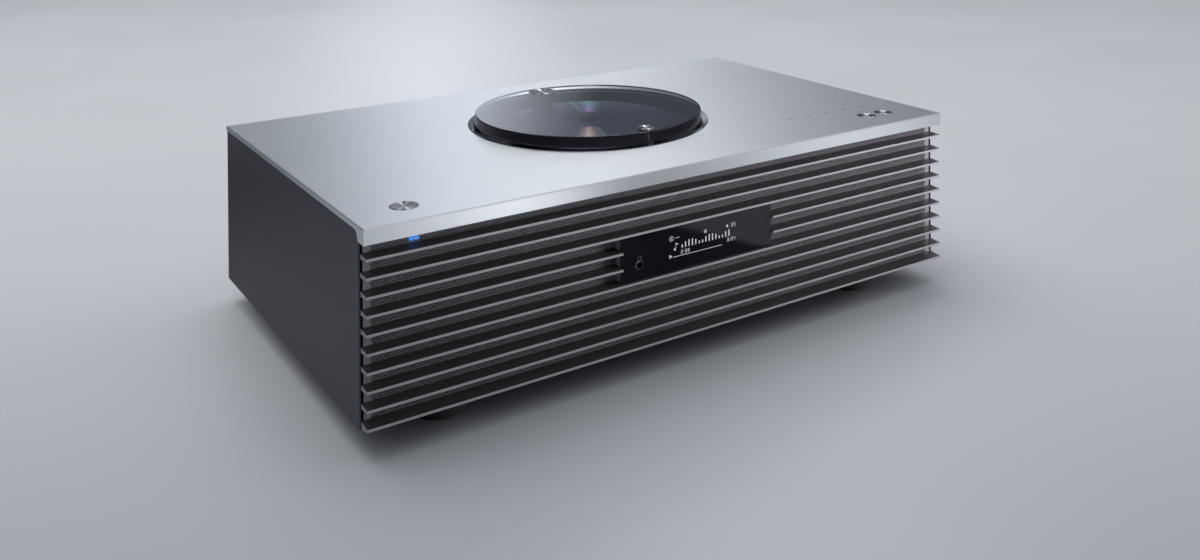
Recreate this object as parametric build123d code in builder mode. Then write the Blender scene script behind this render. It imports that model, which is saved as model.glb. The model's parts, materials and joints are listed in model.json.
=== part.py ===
from build123d import *
import math
import os

# Compact one-box hifi system with a top-loading disc player, a finned front and a swivel lid.
# Millimetres. Origin on the table under the middle of the casing. +X right, +Y back, +Z up.

os.makedirs("parts", exist_ok=True)

# ---------------------------------------------------------------- driving dimensions

width = 450
depth = 278
foot_gap = 16
casing_height = 111
top = foot_gap + casing_height
front = -depth / 2
rear = depth / 2

# casing
plate_thickness = 3
lip_depth = 9.2
lip_height = 8.7
lip_fillet = 5.5
plate_bottom = top - plate_thickness
grille_plane = front + lip_depth
panel_thickness = 3
panel_outer = width / 2 - 0.5
panel_inner = panel_outer - panel_thickness
panel_edge = 0.8
panel_rebate = panel_thickness - panel_edge
rebate_depth = 5.8
tray_thickness = 2
tray_top = foot_gap + tray_thickness
rear_panel_back = rear - 2
rear_panel_front = rear_panel_back - 2

# grille fins, measured down from the top face
fin_pitch = 10.15
first_fin_drop = 16.9
plain_fins = 9
fin_tip = 1.5
fin_root = 2.8
fin_inset = 1.3
fin_end = width / 2 - fin_inset
cut_fins = (3, 4)
base_fin_drop = first_fin_drop + plain_fins * fin_pitch
mesh_thickness = 0.8
mesh_gap = 1.5
mesh_half = panel_outer - panel_edge - mesh_gap
grille_frame_depth = 4

# display window between the third and sixth fins
window_half = 60
window_top = top - (first_fin_drop + 2 * fin_pitch + fin_root / 2) - 0.1
window_bottom = top - (first_fin_drop + 5 * fin_pitch - fin_root / 2) + 0.1
window_face = front + 2
window_thickness = 2
housing_wall = 2
housing_back = front + 26
jack_x = -46.9
jack_z = 69.4
jack_bore = 1.8
jack_depth = 14
jack_barrel = 3.25

# top controls
control_y = -112.5
power_x = -191.3
volume_down_x = 174.1
volume_up_x = 191.4
power_radius = 8.1
volume_radius = 6.75
button_gap = 0.25
button_proud = 0.3
button_travel = 0.7
switch_top = top - 8
board_top = top - 13
board_thickness = 1.6
touch_y = -88.2
touch_xs = [101.7 + 18.15 * i for i in range(6)]

# disc lid
lid_radius = 83.3
lid_bottom = top + 0.5
lid_top = top + 8.3
opening_radius = 88.7
opening_hole_radius = 84.4
opening_slope_depth = 1.3
pivot_y = 70.5
pivot_cap_radius = 10.8
pivot_pin_radius = 3
knob_y = -76
knob_radius = 6.25
running_gap = 0.04

# disc drive
disc_radius = 60
disc_thickness = 1.2
disc_hole_radius = 7.5
disc_ring_radius = 13.1
disc_top = top - 6
disc_bottom = disc_top - disc_thickness
hub_radius = 7.45
well_floor = top - 13
well_floor_bottom = well_floor - 2
well_wall = 84
chassis_bottom = 96
chassis_top = 98
rod_x = 17
rod_z = 104
rod_radius = 1.5
sled_start = -24
sled_travel = 34
rack_module = 0.8
gear_module = 0.6
idler_small_teeth = 12
idler_large_teeth = 40
pinion_teeth = 12
rack_x = 24
idler_x = rack_x + rack_module * idler_small_teeth / 2
idler_y = -40
gear_distance = gear_module * (idler_large_teeth + pinion_teeth) / 2
pinion_y = idler_y - gear_distance
damper_bottom = chassis_bottom - 1.5
damper_places = [(x, y) for x in (-38, 38) for y in (-72, 28)]

# speakers
box_inner_x = 84
box_outer_x = 207
box_front = -118
box_back = 60
box_top = 108
box_wall = 4
woofer_x = 158
woofer_z = 62
tweeter_x = 102
tweeter_z = 90
port_x = 150
port_z = 78
port_outer = 17
port_inner = 14
sub_y = -20
sub_box_half_x = 78
sub_box_front = -100
sub_box_bottom = 21.5
sub_box_top = 76

# feet, corner posts and fasteners
foot_x = 165
foot_front_y = -100
foot_back_y = 100
foot_radius = 18
pad_thickness = 2
foot_places = [(x, y) for x in (-foot_x, foot_x) for y in (foot_front_y, foot_back_y)]
post_size = 12
post_x = panel_inner - post_size / 2
post_front_y = -116
post_back_y = rear_panel_front - post_size / 2
post_places = [(x, y) for x in (-post_x, post_x) for y in (post_front_y, post_back_y)]
screw_radius = 1.5
screw_head_radius = 3
screw_head_height = 1.6

# electronics at the back
board_z = 26
main_left = -205
main_right = 50
supply_left = 60
supply_right = 205
boards_front = 66
boards_back = 130
boards_mid_y = (boards_front + boards_back) / 2
socket_z = 36
inlet_x = 120
lan_x = -150
usb_x = -120
optical_x = -95
aux_x = -75
aerial_x = -30
aux_bore = 1.8
aerial_bore = 0.6
aerial_bore_depth = 8

sides = {"left": -1, "right": 1}


# ---------------------------------------------------------------- shared shapes

def block(x_low, x_high, y_low, y_high, z_low, z_high):
    """A rectangular solid between two corners, kept out of the part that is being made."""
    size = (x_high - x_low, y_high - y_low, z_high - z_low)
    middle = ((x_low + x_high) / 2, (y_low + y_high) / 2, (z_low + z_high) / 2)
    return Pos(*middle) * Box(*size, mode=Mode.PRIVATE)


def turned(origin, along, outline):
    """A solid of revolution from (radius, distance along the axis) points."""
    direction = Vector(*along)
    radial = Vector(1, 0, 0)
    profile = Plane(origin=origin, x_dir=radial, z_dir=radial.cross(direction))
    with BuildPart() as piece:
        with BuildSketch(profile):
            with BuildLine():
                Polyline(*outline, close=True)
            make_face()
        revolve(axis=Axis(origin, along))
    return piece.part


def turned_group(origins, along, outline):
    """The same solid of revolution at several places."""
    return [turned(origin, along, outline) for origin in origins]


def gear_outline(teeth, module, backlash=0.16):
    """Points of an involute spur gear, with a tooth centred on the +X axis."""
    pitch_radius = module * teeth / 2
    base_radius = pitch_radius * math.cos(math.radians(20))
    tip_radius = pitch_radius + 0.7 * module
    root_radius = pitch_radius - 1.1 * module
    half_at_pitch = (math.pi * module / 2 - backlash) / 2 / pitch_radius

    def half_angle(radius):
        """Half the angle that the tooth fills at this radius."""
        pressure = math.acos(min(1, base_radius / radius))
        involute = math.tan(pressure) - pressure
        at_pitch = math.tan(math.radians(20)) - math.radians(20)
        return half_at_pitch + at_pitch - involute

    flank_start = max(base_radius, root_radius + 0.05)
    middle_radius = (pitch_radius + tip_radius) / 2
    rising = [root_radius, flank_start, pitch_radius, middle_radius, tip_radius]
    flank = [(radius, half_angle(max(radius, base_radius))) for radius in rising]
    tooth = [(radius, -angle) for radius, angle in flank] + flank[::-1]
    points = []
    for number in range(teeth):
        turn = 2 * math.pi * number / teeth
        points += [(r * math.cos(turn + a), r * math.sin(turn + a)) for r, a in tooth]
    return points


# ---------------------------------------------------------------- casing

# the round opening under the lid, with a shallow slope down to the hole
opening_outline = [
    (0, plate_bottom - 1),
    (opening_hole_radius, plate_bottom - 1),
    (opening_hole_radius, top - opening_slope_depth),
    (opening_radius, top),
    (opening_radius, top + 1),
    (0, top + 1),
]
opening_cut = turned((0, 0, 0), (0, 0, 1), opening_outline)
with BuildPart() as top_plate:
    with BuildSketch(Plane.XY.offset(top - lip_height)):
        Rectangle(width, depth)
    extrude(amount=lip_height)
    with BuildSketch(Plane.XY.offset(top - lip_height)):
        with Locations((0, (grille_plane + rear + 1) / 2)):
            Rectangle(width + 2, rear + 1 - grille_plane)
    extrude(amount=lip_height - plate_thickness, mode=Mode.SUBTRACT)
    inner_corner = (
        top_plate.edges()
        .filter_by(Axis.X)
        .filter_by(lambda e: abs(e.center().Y - grille_plane) < 0.01)
        .sort_by(Axis.Z)[-1]
    )
    fillet(inner_corner, radius=lip_fillet)
    add(opening_cut, mode=Mode.SUBTRACT)
    with BuildSketch(Plane.XY.offset(plate_bottom)):
        with Locations((power_x, control_y)):
            Circle(power_radius + button_gap)
        with Locations((volume_down_x, control_y), (volume_up_x, control_y)):
            Circle(volume_radius + button_gap)
    extrude(amount=plate_thickness, mode=Mode.SUBTRACT)
    upper_edges = (
        top_plate.edges()
        .filter_by(GeomType.LINE)
        .filter_by(lambda e: abs(e.center().Z - top) < 0.01)
    )
    chamfer(upper_edges, length=0.5)
    with BuildSketch(Plane.XY.offset(plate_bottom)):
        with Locations(*post_places):
            Circle(2)
    extrude(amount=-8)
top_plate.part.label = "top_plate"
export_step(top_plate.part, "parts/top_plate.step")

for side, sign in sides.items():
    outer_face = sign * panel_outer
    with BuildPart() as side_panel:
        with BuildSketch(Plane.YZ.offset(outer_face)):
            with BuildLine():
                Polyline(
                    (grille_plane, foot_gap),
                    (rear - 0.5, foot_gap),
                    (rear - 0.5, plate_bottom),
                    (grille_plane + lip_fillet + 0.3, plate_bottom),
                )
                ThreePointArc(
                    (grille_plane + lip_fillet + 0.3, plate_bottom),
                    (grille_plane + 1.8, plate_bottom - 1.9),
                    (grille_plane, plate_bottom - lip_fillet - 0.3),
                )
                Line((grille_plane, plate_bottom - lip_fillet - 0.3), (grille_plane, foot_gap))
            make_face()
        extrude(amount=-sign * panel_thickness)
        outer_edges = (
            side_panel.edges()
            .filter_by(Axis.Z)
            .filter_by(lambda e: abs(e.center().X - outer_face) < 0.01)
        )
        chamfer(outer_edges, length=0.4)
        with BuildSketch(Plane.XY.offset(foot_gap)):
            with Locations((sign * (panel_inner + panel_rebate / 2), grille_plane + rebate_depth / 2)):
                Rectangle(panel_rebate, rebate_depth)
        extrude(amount=plate_bottom - foot_gap, mode=Mode.SUBTRACT)
    side_panel.part.label = f"side_panel_{side}"
    export_step(side_panel.part, f"parts/side_panel_{side}.step")

with BuildPart() as bottom_tray:
    with BuildSketch(Plane.XY.offset(foot_gap)):
        with Locations((0, (grille_plane + rear_panel_front) / 2)):
            Rectangle(2 * panel_inner, rear_panel_front - grille_plane)
    extrude(amount=tray_thickness)
    with BuildSketch(Plane.XY.offset(foot_gap)):
        with Locations(*post_places):
            Circle(screw_radius + 0.1)
        with Locations(*foot_places):
            Circle(3.1)
        for ring_radius, holes in ((12, 6), (26, 12), (40, 18)):
            with Locations((0, sub_y)):
                with PolarLocations(ring_radius, holes):
                    Circle(5)
    extrude(amount=tray_thickness, mode=Mode.SUBTRACT)
bottom_tray.part.label = "bottom_tray"
export_step(bottom_tray.part, "parts/bottom_tray.step")

socket_cuts = [
    (lan_x, socket_z, 16.4, 14.4),
    (usb_x, socket_z, 14.4, 7.4),
    (optical_x, socket_z, 11.4, 11.4),
    (inlet_x, socket_z + 2, 27.4, 20.4),
]
with BuildPart() as rear_panel:
    with BuildSketch(Plane.XZ.offset(-rear_panel_front)):
        with Locations((0, (foot_gap + plate_bottom) / 2)):
            Rectangle(2 * panel_inner, plate_bottom - foot_gap)
        for x, z, wide, high in socket_cuts:
            with Locations((x, z)):
                Rectangle(wide, high, mode=Mode.SUBTRACT)
        with Locations((aux_x, socket_z)):
            Circle(3.6, mode=Mode.SUBTRACT)
        with Locations((aerial_x, socket_z)):
            Circle(5.1, mode=Mode.SUBTRACT)
        with Locations((-port_x, port_z), (port_x, port_z)):
            Circle(port_outer, mode=Mode.SUBTRACT)
        with Locations(*[(x, z) for x in (-post_x, post_x) for z in (30, 110)]):
            Circle(screw_radius + 0.1, mode=Mode.SUBTRACT)
    extrude(amount=rear_panel_front - rear_panel_back)
rear_panel.part.label = "rear_panel"
export_step(rear_panel.part, "parts/rear_panel.step")

with BuildPart() as corner_posts:
    with BuildSketch(Plane.XY.offset(tray_top)):
        with Locations(*post_places):
            Rectangle(post_size, post_size)
    extrude(amount=plate_bottom - tray_top)
    with BuildSketch(Plane.XY.offset(plate_bottom)):
        with Locations(*post_places):
            Circle(2.05)
    extrude(amount=-9, mode=Mode.SUBTRACT)
    with BuildSketch(Plane.XY.offset(tray_top)):
        with Locations(*post_places):
            Circle(screw_radius)
    extrude(amount=9, mode=Mode.SUBTRACT)
    with BuildSketch(Plane.XZ.offset(-rear_panel_front)):
        with Locations(*[(x, z) for x in (-post_x, post_x) for z in (30, 110)]):
            Circle(screw_radius)
    extrude(amount=9, mode=Mode.SUBTRACT)
corner_posts.part.label = "corner_posts"
export_step(corner_posts.part, "parts/corner_posts.step")

with BuildPart() as screws:
    with BuildSketch(Plane.XY.offset(foot_gap)):
        with Locations(*post_places):
            Circle(screw_head_radius)
    extrude(amount=-screw_head_height)
    with BuildSketch(Plane.XY.offset(foot_gap)):
        with Locations(*post_places):
            Circle(screw_radius)
    extrude(amount=10)
    head_edges = screws.edges().filter_by(GeomType.CIRCLE).group_by(Axis.Z)[0]
    chamfer(head_edges, length=0.6)
    with BuildSketch(Plane.XZ.offset(-rear_panel_back)):
        with Locations(*[(x, z) for x in (-post_x, post_x) for z in (30, 110)]):
            Circle(screw_head_radius)
    extrude(amount=-screw_head_height)
    with BuildSketch(Plane.XZ.offset(-rear_panel_back)):
        with Locations(*[(x, z) for x in (-post_x, post_x) for z in (30, 110)]):
            Circle(screw_radius)
    extrude(amount=10)
    with BuildSketch(Plane.XY.offset(damper_bottom)):
        with Locations(*damper_places):
            Circle(4)
    extrude(amount=-screw_head_height)
    with BuildSketch(Plane.XY.offset(damper_bottom)):
        with Locations(*damper_places):
            Circle(screw_radius)
    extrude(amount=12)
screws.part.label = "screws"
export_step(screws.part, "parts/screws.step")

with BuildPart() as feet:
    with BuildSketch(Plane.XY.offset(pad_thickness)):
        with Locations(*foot_places):
            Circle(foot_radius)
    extrude(amount=foot_gap - pad_thickness, taper=-6)
    with BuildSketch(Plane.XY.offset(foot_gap)):
        with Locations(*foot_places):
            Circle(3)
    extrude(amount=tray_thickness)
feet.part.label = "feet"
export_step(feet.part, "parts/feet.step")

with BuildPart() as foot_pads:
    with BuildSketch():
        with Locations(*foot_places):
            Circle(foot_radius - 2)
    extrude(amount=pad_thickness)
foot_pads.part.label = "foot_pads"
export_step(foot_pads.part, "parts/foot_pads.step")

# ---------------------------------------------------------------- finned front


def fin_profile(drop):
    """Side outline of a fin that thins towards its tip, as (y, z) points."""
    middle = top - drop
    return [
        (grille_plane, middle - fin_root / 2),
        (grille_plane, middle + fin_root / 2),
        (front, middle + fin_tip / 2),
        (front, middle - fin_tip / 2),
    ]


fin_spans = []
for number in range(plain_fins):
    if number in cut_fins:
        fin_spans.append((number, -fin_end, -window_half - 0.1))
        fin_spans.append((number, window_half + 0.1, fin_end))
    else:
        fin_spans.append((number, -fin_end, fin_end))

with BuildPart() as grille_fins:
    for number, start, end in fin_spans:
        with BuildSketch(Plane.YZ.offset(start)):
            with BuildLine():
                Polyline(*fin_profile(first_fin_drop + number * fin_pitch), close=True)
            make_face()
        extrude(amount=end - start)
    with BuildSketch(Plane.YZ.offset(-fin_end)):
        with BuildLine():
            Polyline(
                (grille_plane, foot_gap),
                (grille_plane, top - base_fin_drop + 2),
                (front, top - base_fin_drop + fin_tip / 2),
                (front, top - base_fin_drop - fin_tip / 2),
                close=True,
            )
        make_face()
    extrude(amount=2 * fin_end)
grille_fins.part.label = "grille_fins"
export_step(grille_fins.part, "parts/grille_fins.step")

mesh_top = top - lip_height
with BuildPart() as speaker_mesh:
    with BuildSketch(Plane.XZ.offset(-grille_plane)):
        with Locations((0, (tray_top + mesh_top) / 2)):
            Rectangle(2 * mesh_half, mesh_top - tray_top)
        with Locations((0, (window_bottom + window_top) / 2)):
            Rectangle(2 * window_half, window_top - window_bottom, mode=Mode.SUBTRACT)
    extrude(amount=-mesh_thickness)
speaker_mesh.part.label = "speaker_mesh"
export_step(speaker_mesh.part, "parts/speaker_mesh.step")

frame_face = grille_plane + mesh_thickness
with BuildPart() as grille_frame:
    with BuildSketch(Plane.XZ.offset(-frame_face)):
        with Locations((0, (tray_top + mesh_top) / 2)):
            Rectangle(2 * panel_inner, mesh_top - tray_top)
        for sign in (-1, 1):
            with Locations((sign * 142, 67)):
                Rectangle(144, 86, mode=Mode.SUBTRACT)
        with Locations((0, 103)):
            Rectangle(120, 16, mode=Mode.SUBTRACT)
        with Locations((0, 40)):
            Rectangle(120, 32, mode=Mode.SUBTRACT)
        with Locations((0, (window_bottom + window_top) / 2)):
            Rectangle(2 * window_half, window_top - window_bottom, mode=Mode.SUBTRACT)
        with Locations((-192.8, top - 13.3)):
            Rectangle(10, 6, mode=Mode.SUBTRACT)
    extrude(amount=-grille_frame_depth)
grille_frame.part.label = "grille_frame"
export_step(grille_frame.part, "parts/grille_frame.step")

with BuildPart() as status_light:
    with BuildSketch(Plane.XZ.offset(-frame_face)):
        with Locations((-192.8, top - 13.3)):
            Rectangle(9.6, 5.6)
    extrude(amount=-7)
    fillet(status_light.edges().filter_by(Axis.Y), radius=1)
status_light.part.label = "status_light"
export_step(status_light.part, "parts/status_light.step")

# ---------------------------------------------------------------- display

window_middle = (window_bottom + window_top) / 2
window_height = window_top - window_bottom
with BuildPart() as display_window:
    with BuildSketch(Plane.XZ.offset(-window_face)):
        with Locations((0, window_middle)):
            Rectangle(2 * window_half, window_height)
        with Locations((jack_x, jack_z)):
            Circle(jack_barrel, mode=Mode.SUBTRACT)
    extrude(amount=-window_thickness)
    rim = display_window.edges().filter_by(lambda e: abs(e.center().Y - window_face) < 0.01)
    chamfer(rim.filter_by(GeomType.LINE), length=0.25)
display_window.part.label = "display_window"
export_step(display_window.part, "parts/display_window.step")

with BuildPart() as display_housing:
    with BuildSketch(Plane.XZ.offset(-(window_face + window_thickness))):
        with Locations((0, window_middle)):
            Rectangle(2 * window_half, window_height)
            Rectangle(
                2 * (window_half - housing_wall),
                window_height - 2 * housing_wall,
                mode=Mode.SUBTRACT,
            )
    extrude(amount=-(housing_back - window_face - window_thickness))
display_housing.part.label = "display_housing"
export_step(display_housing.part, "parts/display_housing.step")

module_face = window_face + window_thickness
with BuildPart() as display_module:
    with BuildSketch(Plane.XZ.offset(-module_face)):
        with Locations((8, window_middle)):
            Rectangle(76, 21)
    extrude(amount=-3)
    with BuildSketch(Plane.XZ.offset(-(module_face + 3))):
        with Locations((10, window_middle)):
            Rectangle(90, 23)
    extrude(amount=-board_thickness)
    with BuildSketch(Plane.XZ.offset(-(module_face + 3 + board_thickness))):
        with Locations((-20, window_middle), (5, window_middle)):
            Rectangle(12, 9)
        with Locations((40, window_middle)):
            Rectangle(7, 16)
    extrude(amount=-2.5)
display_module.part.label = "display_module"
export_step(display_module.part, "parts/display_module.step")

with BuildPart() as headphone_jack:
    with BuildSketch(Plane.XZ.offset(-(window_face - 0.3))):
        with Locations((jack_x, jack_z)):
            Circle(jack_barrel)
    extrude(amount=-(jack_depth + 4))
    with BuildSketch(Plane.XZ.offset(-(window_face - 0.3))):
        with Locations((jack_x, jack_z)):
            Circle(jack_bore)
    extrude(amount=-jack_depth, mode=Mode.SUBTRACT)
    mouth = headphone_jack.edges().filter_by(GeomType.CIRCLE).group_by(Axis.Y)[0]
    chamfer(mouth.sort_by(SortBy.RADIUS)[-1], length=0.4)
    add(block(jack_x - 5, jack_x + 5, window_face + 7, window_face + 16, jack_z - 6, jack_z - 3))
    add(block(jack_x - 5, jack_x + 5, window_face + 7, window_face + 16, jack_z + 3, jack_z + 5))
headphone_jack.part.label = "headphone_jack"
export_step(headphone_jack.part, "parts/headphone_jack.step")

ribbon_x = 81
with BuildPart() as display_ribbon:
    with BuildSketch(Plane.XY.offset(window_middle - 8)):
        with BuildLine():
            Polyline(
                (40, module_face + 10),
                (46, module_face + 14),
                (46, -106),
                (ribbon_x, -106),
                (ribbon_x, boards_front + 4),
            )
            offset(amount=0.3)
        make_face()
    extrude(amount=16)
display_ribbon.part.label = "display_ribbon"
export_step(display_ribbon.part, "parts/display_ribbon.step")

# ---------------------------------------------------------------- top controls


def push_button(x, radius):
    """Dished metal cap with a flange that stops under the plate, and a stem below it."""
    flange_bottom = plate_bottom - 2
    stem_bottom = switch_top + button_travel + 0.1
    outline = [
        (0, stem_bottom),
        (2, stem_bottom),
        (2, flange_bottom),
        (radius + 1.4, flange_bottom),
        (radius + 1.4, plate_bottom),
        (radius, plate_bottom),
        (radius, top + button_proud - 0.3),
        (radius - 0.3, top + button_proud),
        (radius - 0.9, top + button_proud),
        (0, top + button_proud - 0.5),
    ]
    return turned((x, control_y, 0), (0, 0, 1), outline)


power_button = push_button(power_x, power_radius)
power_button.label = "power_button"
export_step(power_button, "parts/power_button.step")

volume_down_button = push_button(volume_down_x, volume_radius)
volume_down_button.label = "volume_down_button"
export_step(volume_down_button, "parts/volume_down_button.step")

volume_up_button = push_button(volume_up_x, volume_radius)
volume_up_button.label = "volume_up_button"
export_step(volume_up_button, "parts/volume_up_button.step")

switch_places = [(x, control_y) for x in (power_x, volume_down_x, volume_up_x)]
with BuildPart() as push_switches:
    with BuildSketch(Plane.XY.offset(board_top)):
        with Locations(*switch_places):
            Rectangle(6, 6)
    extrude(amount=3.5)
    with BuildSketch(Plane.XY.offset(board_top + 3.5)):
        with Locations(*switch_places):
            Circle(1.75)
    extrude(amount=switch_top - board_top - 3.5)
push_switches.part.label = "push_switches"
export_step(push_switches.part, "parts/push_switches.step")

with BuildPart() as control_boards:
    with BuildSketch(Plane.XY.offset(board_top)):
        with Locations((power_x + 7, control_y + 5)):
            Rectangle(40, 26)
        with Locations((150, -100)):
            Rectangle(112, 40)
    extrude(amount=-board_thickness)
    with BuildSketch(Plane.XY.offset(board_top)):
        with Locations((power_x + 18, control_y + 12)):
            Rectangle(8, 6)
        with Locations((120, -110), (140, -110)):
            Rectangle(9, 9)
        with Locations((102, -112)):
            Rectangle(6, 12)
    extrude(amount=2)
control_boards.part.label = "control_boards"
export_step(control_boards.part, "parts/control_boards.step")

with BuildPart() as touch_pads:
    with BuildSketch(Plane.XY.offset(board_top)):
        with Locations(*[(x, touch_y) for x in touch_xs]):
            Circle(5)
    extrude(amount=plate_bottom - board_top)
touch_pads.part.label = "touch_pads"
export_step(touch_pads.part, "parts/touch_pads.step")

# ---------------------------------------------------------------- disc lid

cap_seat = lid_top - 1.4
with BuildPart() as cd_lid:
    with BuildSketch(Plane.XY.offset(lid_bottom)):
        Circle(lid_radius)
    extrude(amount=lid_top - lid_bottom)
    rims = cd_lid.edges().filter_by(GeomType.CIRCLE).sort_by(Axis.Z)
    fillet(rims[-1], radius=0.8)
    fillet(rims[0], radius=0.5)
    with BuildSketch(Plane.XY.offset(lid_bottom)):
        with Locations((0, pivot_y)):
            Circle(pivot_pin_radius)
        with Locations((0, knob_y)):
            Circle(1.6)
    extrude(amount=lid_top - lid_bottom, mode=Mode.SUBTRACT)
    with BuildSketch(Plane.XY.offset(lid_top)):
        with Locations((0, pivot_y)):
            Circle(pivot_cap_radius)
    extrude(amount=-(lid_top - cap_seat), mode=Mode.SUBTRACT)
cd_lid.part.label = "cd_lid"
export_step(cd_lid.part, "parts/cd_lid.step")

cap_top = lid_top + 0.2
pin_bottom = well_floor_bottom - 4
pivot_pin_outline = [
    (0, pin_bottom),
    (pivot_pin_radius - 0.4, pin_bottom),
    (pivot_pin_radius, pin_bottom + 0.4),
    (pivot_pin_radius, cap_seat),
    (pivot_cap_radius - 0.1, cap_seat),
    (pivot_cap_radius - 0.1, cap_top - 0.3),
    (pivot_cap_radius - 0.4, cap_top),
    (pivot_cap_radius - 1.2, cap_top),
    (0, cap_top - 0.6),
]
lid_pivot_pin = turned((0, pivot_y, 0), (0, 0, 1), pivot_pin_outline)
lid_pivot_pin.label = "lid_pivot_pin"
export_step(lid_pivot_pin, "parts/lid_pivot_pin.step")

bush_top = top + 0.3
bush_outer = 5
bush_outline = [
    (pivot_pin_radius + running_gap, well_floor_bottom - 2),
    (bush_outer, well_floor_bottom - 2),
    (bush_outer, bush_top),
    (pivot_pin_radius + running_gap, bush_top),
]
lid_pivot_bush = turned((0, pivot_y, 0), (0, 0, 1), bush_outline)
lid_pivot_bush.label = "lid_pivot_bush"
export_step(lid_pivot_bush, "parts/lid_pivot_bush.step")

knob_outline = [
    (0, lid_bottom - 0.3),
    (4, lid_bottom - 0.3),
    (4, lid_bottom),
    (1.6, lid_bottom),
    (1.6, lid_top),
    (knob_radius - 0.2, lid_top),
    (knob_radius, lid_top + 0.2),
    (knob_radius, lid_top + 0.9),
    (knob_radius - 0.3, lid_top + 1.2),
    (knob_radius - 0.9, lid_top + 1.2),
    (0, lid_top + 0.7),
]
lid_finger_knob = turned((0, knob_y, 0), (0, 0, 1), knob_outline)
lid_finger_knob.label = "lid_finger_knob"
export_step(lid_finger_knob, "parts/lid_finger_knob.step")

with BuildPart() as lid_catch_magnet:
    with BuildSketch(Plane.XY.offset(well_floor)):
        with Locations((0, knob_y)):
            Circle(5)
    extrude(amount=top - well_floor - 1)
lid_catch_magnet.part.label = "lid_catch_magnet"
export_step(lid_catch_magnet.part, "parts/lid_catch_magnet.step")

# ---------------------------------------------------------------- disc well and drive

well_flange_radius = 96
leg_bottom = chassis_top + 1.5
with BuildPart() as disc_well:
    with BuildSketch(Plane.XY.offset(well_floor_bottom)):
        Circle(well_wall + 2)
    extrude(amount=plate_bottom - well_floor_bottom)
    with BuildSketch(Plane.XY.offset(plate_bottom)):
        Circle(well_flange_radius)
    extrude(amount=-2.5)
    with BuildSketch(Plane.XY.offset(well_floor)):
        Circle(well_wall)
    extrude(amount=plate_bottom - well_floor, mode=Mode.SUBTRACT)
    well_ring = disc_well.edges().filter_by(GeomType.CIRCLE).group_by(Axis.Z)[-1]
    chamfer(well_ring.sort_by(SortBy.RADIUS)[0], length=1.4)
    with BuildSketch(Plane.XY.offset(well_floor)):
        with Locations((0, pivot_y)):
            Circle(8)
    extrude(amount=top - well_floor)
    with BuildSketch(Plane.XY.offset(well_floor_bottom)):
        with Locations(*damper_places):
            Circle(4)
    extrude(amount=leg_bottom - well_floor_bottom)
    with BuildSketch(Plane.XY.offset(leg_bottom)):
        with Locations(*damper_places):
            Circle(screw_radius)
    extrude(amount=9, mode=Mode.SUBTRACT)
    with BuildSketch(Plane.XY.offset(well_floor_bottom)):
        Circle(17)
        with Locations((0, (sled_start - sled_travel) / 2 - 2)):
            Rectangle(19, sled_travel + 40)
        with Locations((0, pivot_y)):
            Circle(bush_outer)
    extrude(amount=top - well_floor_bottom, mode=Mode.SUBTRACT)
disc_well.part.label = "disc_well"
export_step(disc_well.part, "parts/disc_well.step")

with BuildPart() as compact_disc:
    with BuildSketch(Plane.XY.offset(disc_bottom)):
        Circle(disc_radius)
        Circle(disc_hole_radius, mode=Mode.SUBTRACT)
    extrude(amount=disc_thickness)
    with BuildSketch(Plane.XY.offset(disc_top)):
        Circle(disc_ring_radius)
        Circle(disc_ring_radius - 0.5, mode=Mode.SUBTRACT)
    extrude(amount=0.1)
compact_disc.part.label = "compact_disc"
export_step(compact_disc.part, "parts/compact_disc.step")

rotor_bottom = 108
spindle_radius = 1.5
turntable_outline = [
    (0, chassis_bottom - 2),
    (spindle_radius, chassis_bottom - 2),
    (spindle_radius, rotor_bottom + 4),
    (10.5, rotor_bottom + 4),
    (10.5, rotor_bottom),
    (12, rotor_bottom),
    (12, disc_bottom - 2.5),
    (15, disc_bottom - 2.5),
    (15, disc_bottom),
    (hub_radius, disc_bottom),
    (hub_radius, disc_top + 0.3),
    (hub_radius - 1.2, disc_top + 1.5),
    (3, disc_top + 1.5),
    (2.4, disc_top + 0.9),
    (0, disc_top + 0.9),
]
turntable = turned((0, 0, 0), (0, 0, 1), turntable_outline)
turntable.label = "turntable"
export_step(turntable, "parts/turntable.step")

motor_outline = [
    (spindle_radius + running_gap, chassis_bottom - 1.5),
    (4, chassis_bottom - 1.5),
    (4, chassis_top),
    (13, chassis_top),
    (13, chassis_top + 3),
    (9, chassis_top + 3),
    (9, rotor_bottom + 3),
    (3, rotor_bottom + 3),
    (3, rotor_bottom + 3.5),
    (spindle_radius + running_gap, rotor_bottom + 3.5),
]
spindle_motor = turned((0, 0, 0), (0, 0, 1), motor_outline)
spindle_motor.label = "spindle_motor"
export_step(spindle_motor, "parts/spindle_motor.step")

rod_back = -7
rod_front = -88
idler_pin_radius = 1.5
with BuildPart() as drive_chassis:
    with BuildSketch(Plane.XY.offset(chassis_bottom)):
        with Locations((0, -28)):
            RectangleRounded(88, 128, 6)
        with Locations(*damper_places):
            Circle(3.5, mode=Mode.SUBTRACT)
        Circle(4, mode=Mode.SUBTRACT)
        with Locations((idler_x, pinion_y)):
            Circle(2.2, mode=Mode.SUBTRACT)
        with Locations((-4, -52)):
            Rectangle(20, 44, mode=Mode.SUBTRACT)
    extrude(amount=chassis_top - chassis_bottom)
    for x in (-rod_x, rod_x):
        for y in (rod_back + 1.5, rod_front - 1.5):
            with BuildSketch(Plane.XY.offset(chassis_top)):
                with Locations((x, y)):
                    Rectangle(7, 5)
            extrude(amount=rod_z + 3 - chassis_top)
    with BuildSketch(Plane.XZ.offset(-(rod_back + 4))):
        with Locations((-rod_x, rod_z), (rod_x, rod_z)):
            Circle(rod_radius)
    extrude(amount=rod_back - rod_front + 8, mode=Mode.SUBTRACT)
    with BuildSketch(Plane.XY.offset(chassis_top)):
        with Locations((idler_x, idler_y)):
            Circle(idler_pin_radius)
    extrude(amount=8.2)
drive_chassis.part.label = "drive_chassis"
export_step(drive_chassis.part, "parts/drive_chassis.step")

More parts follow.
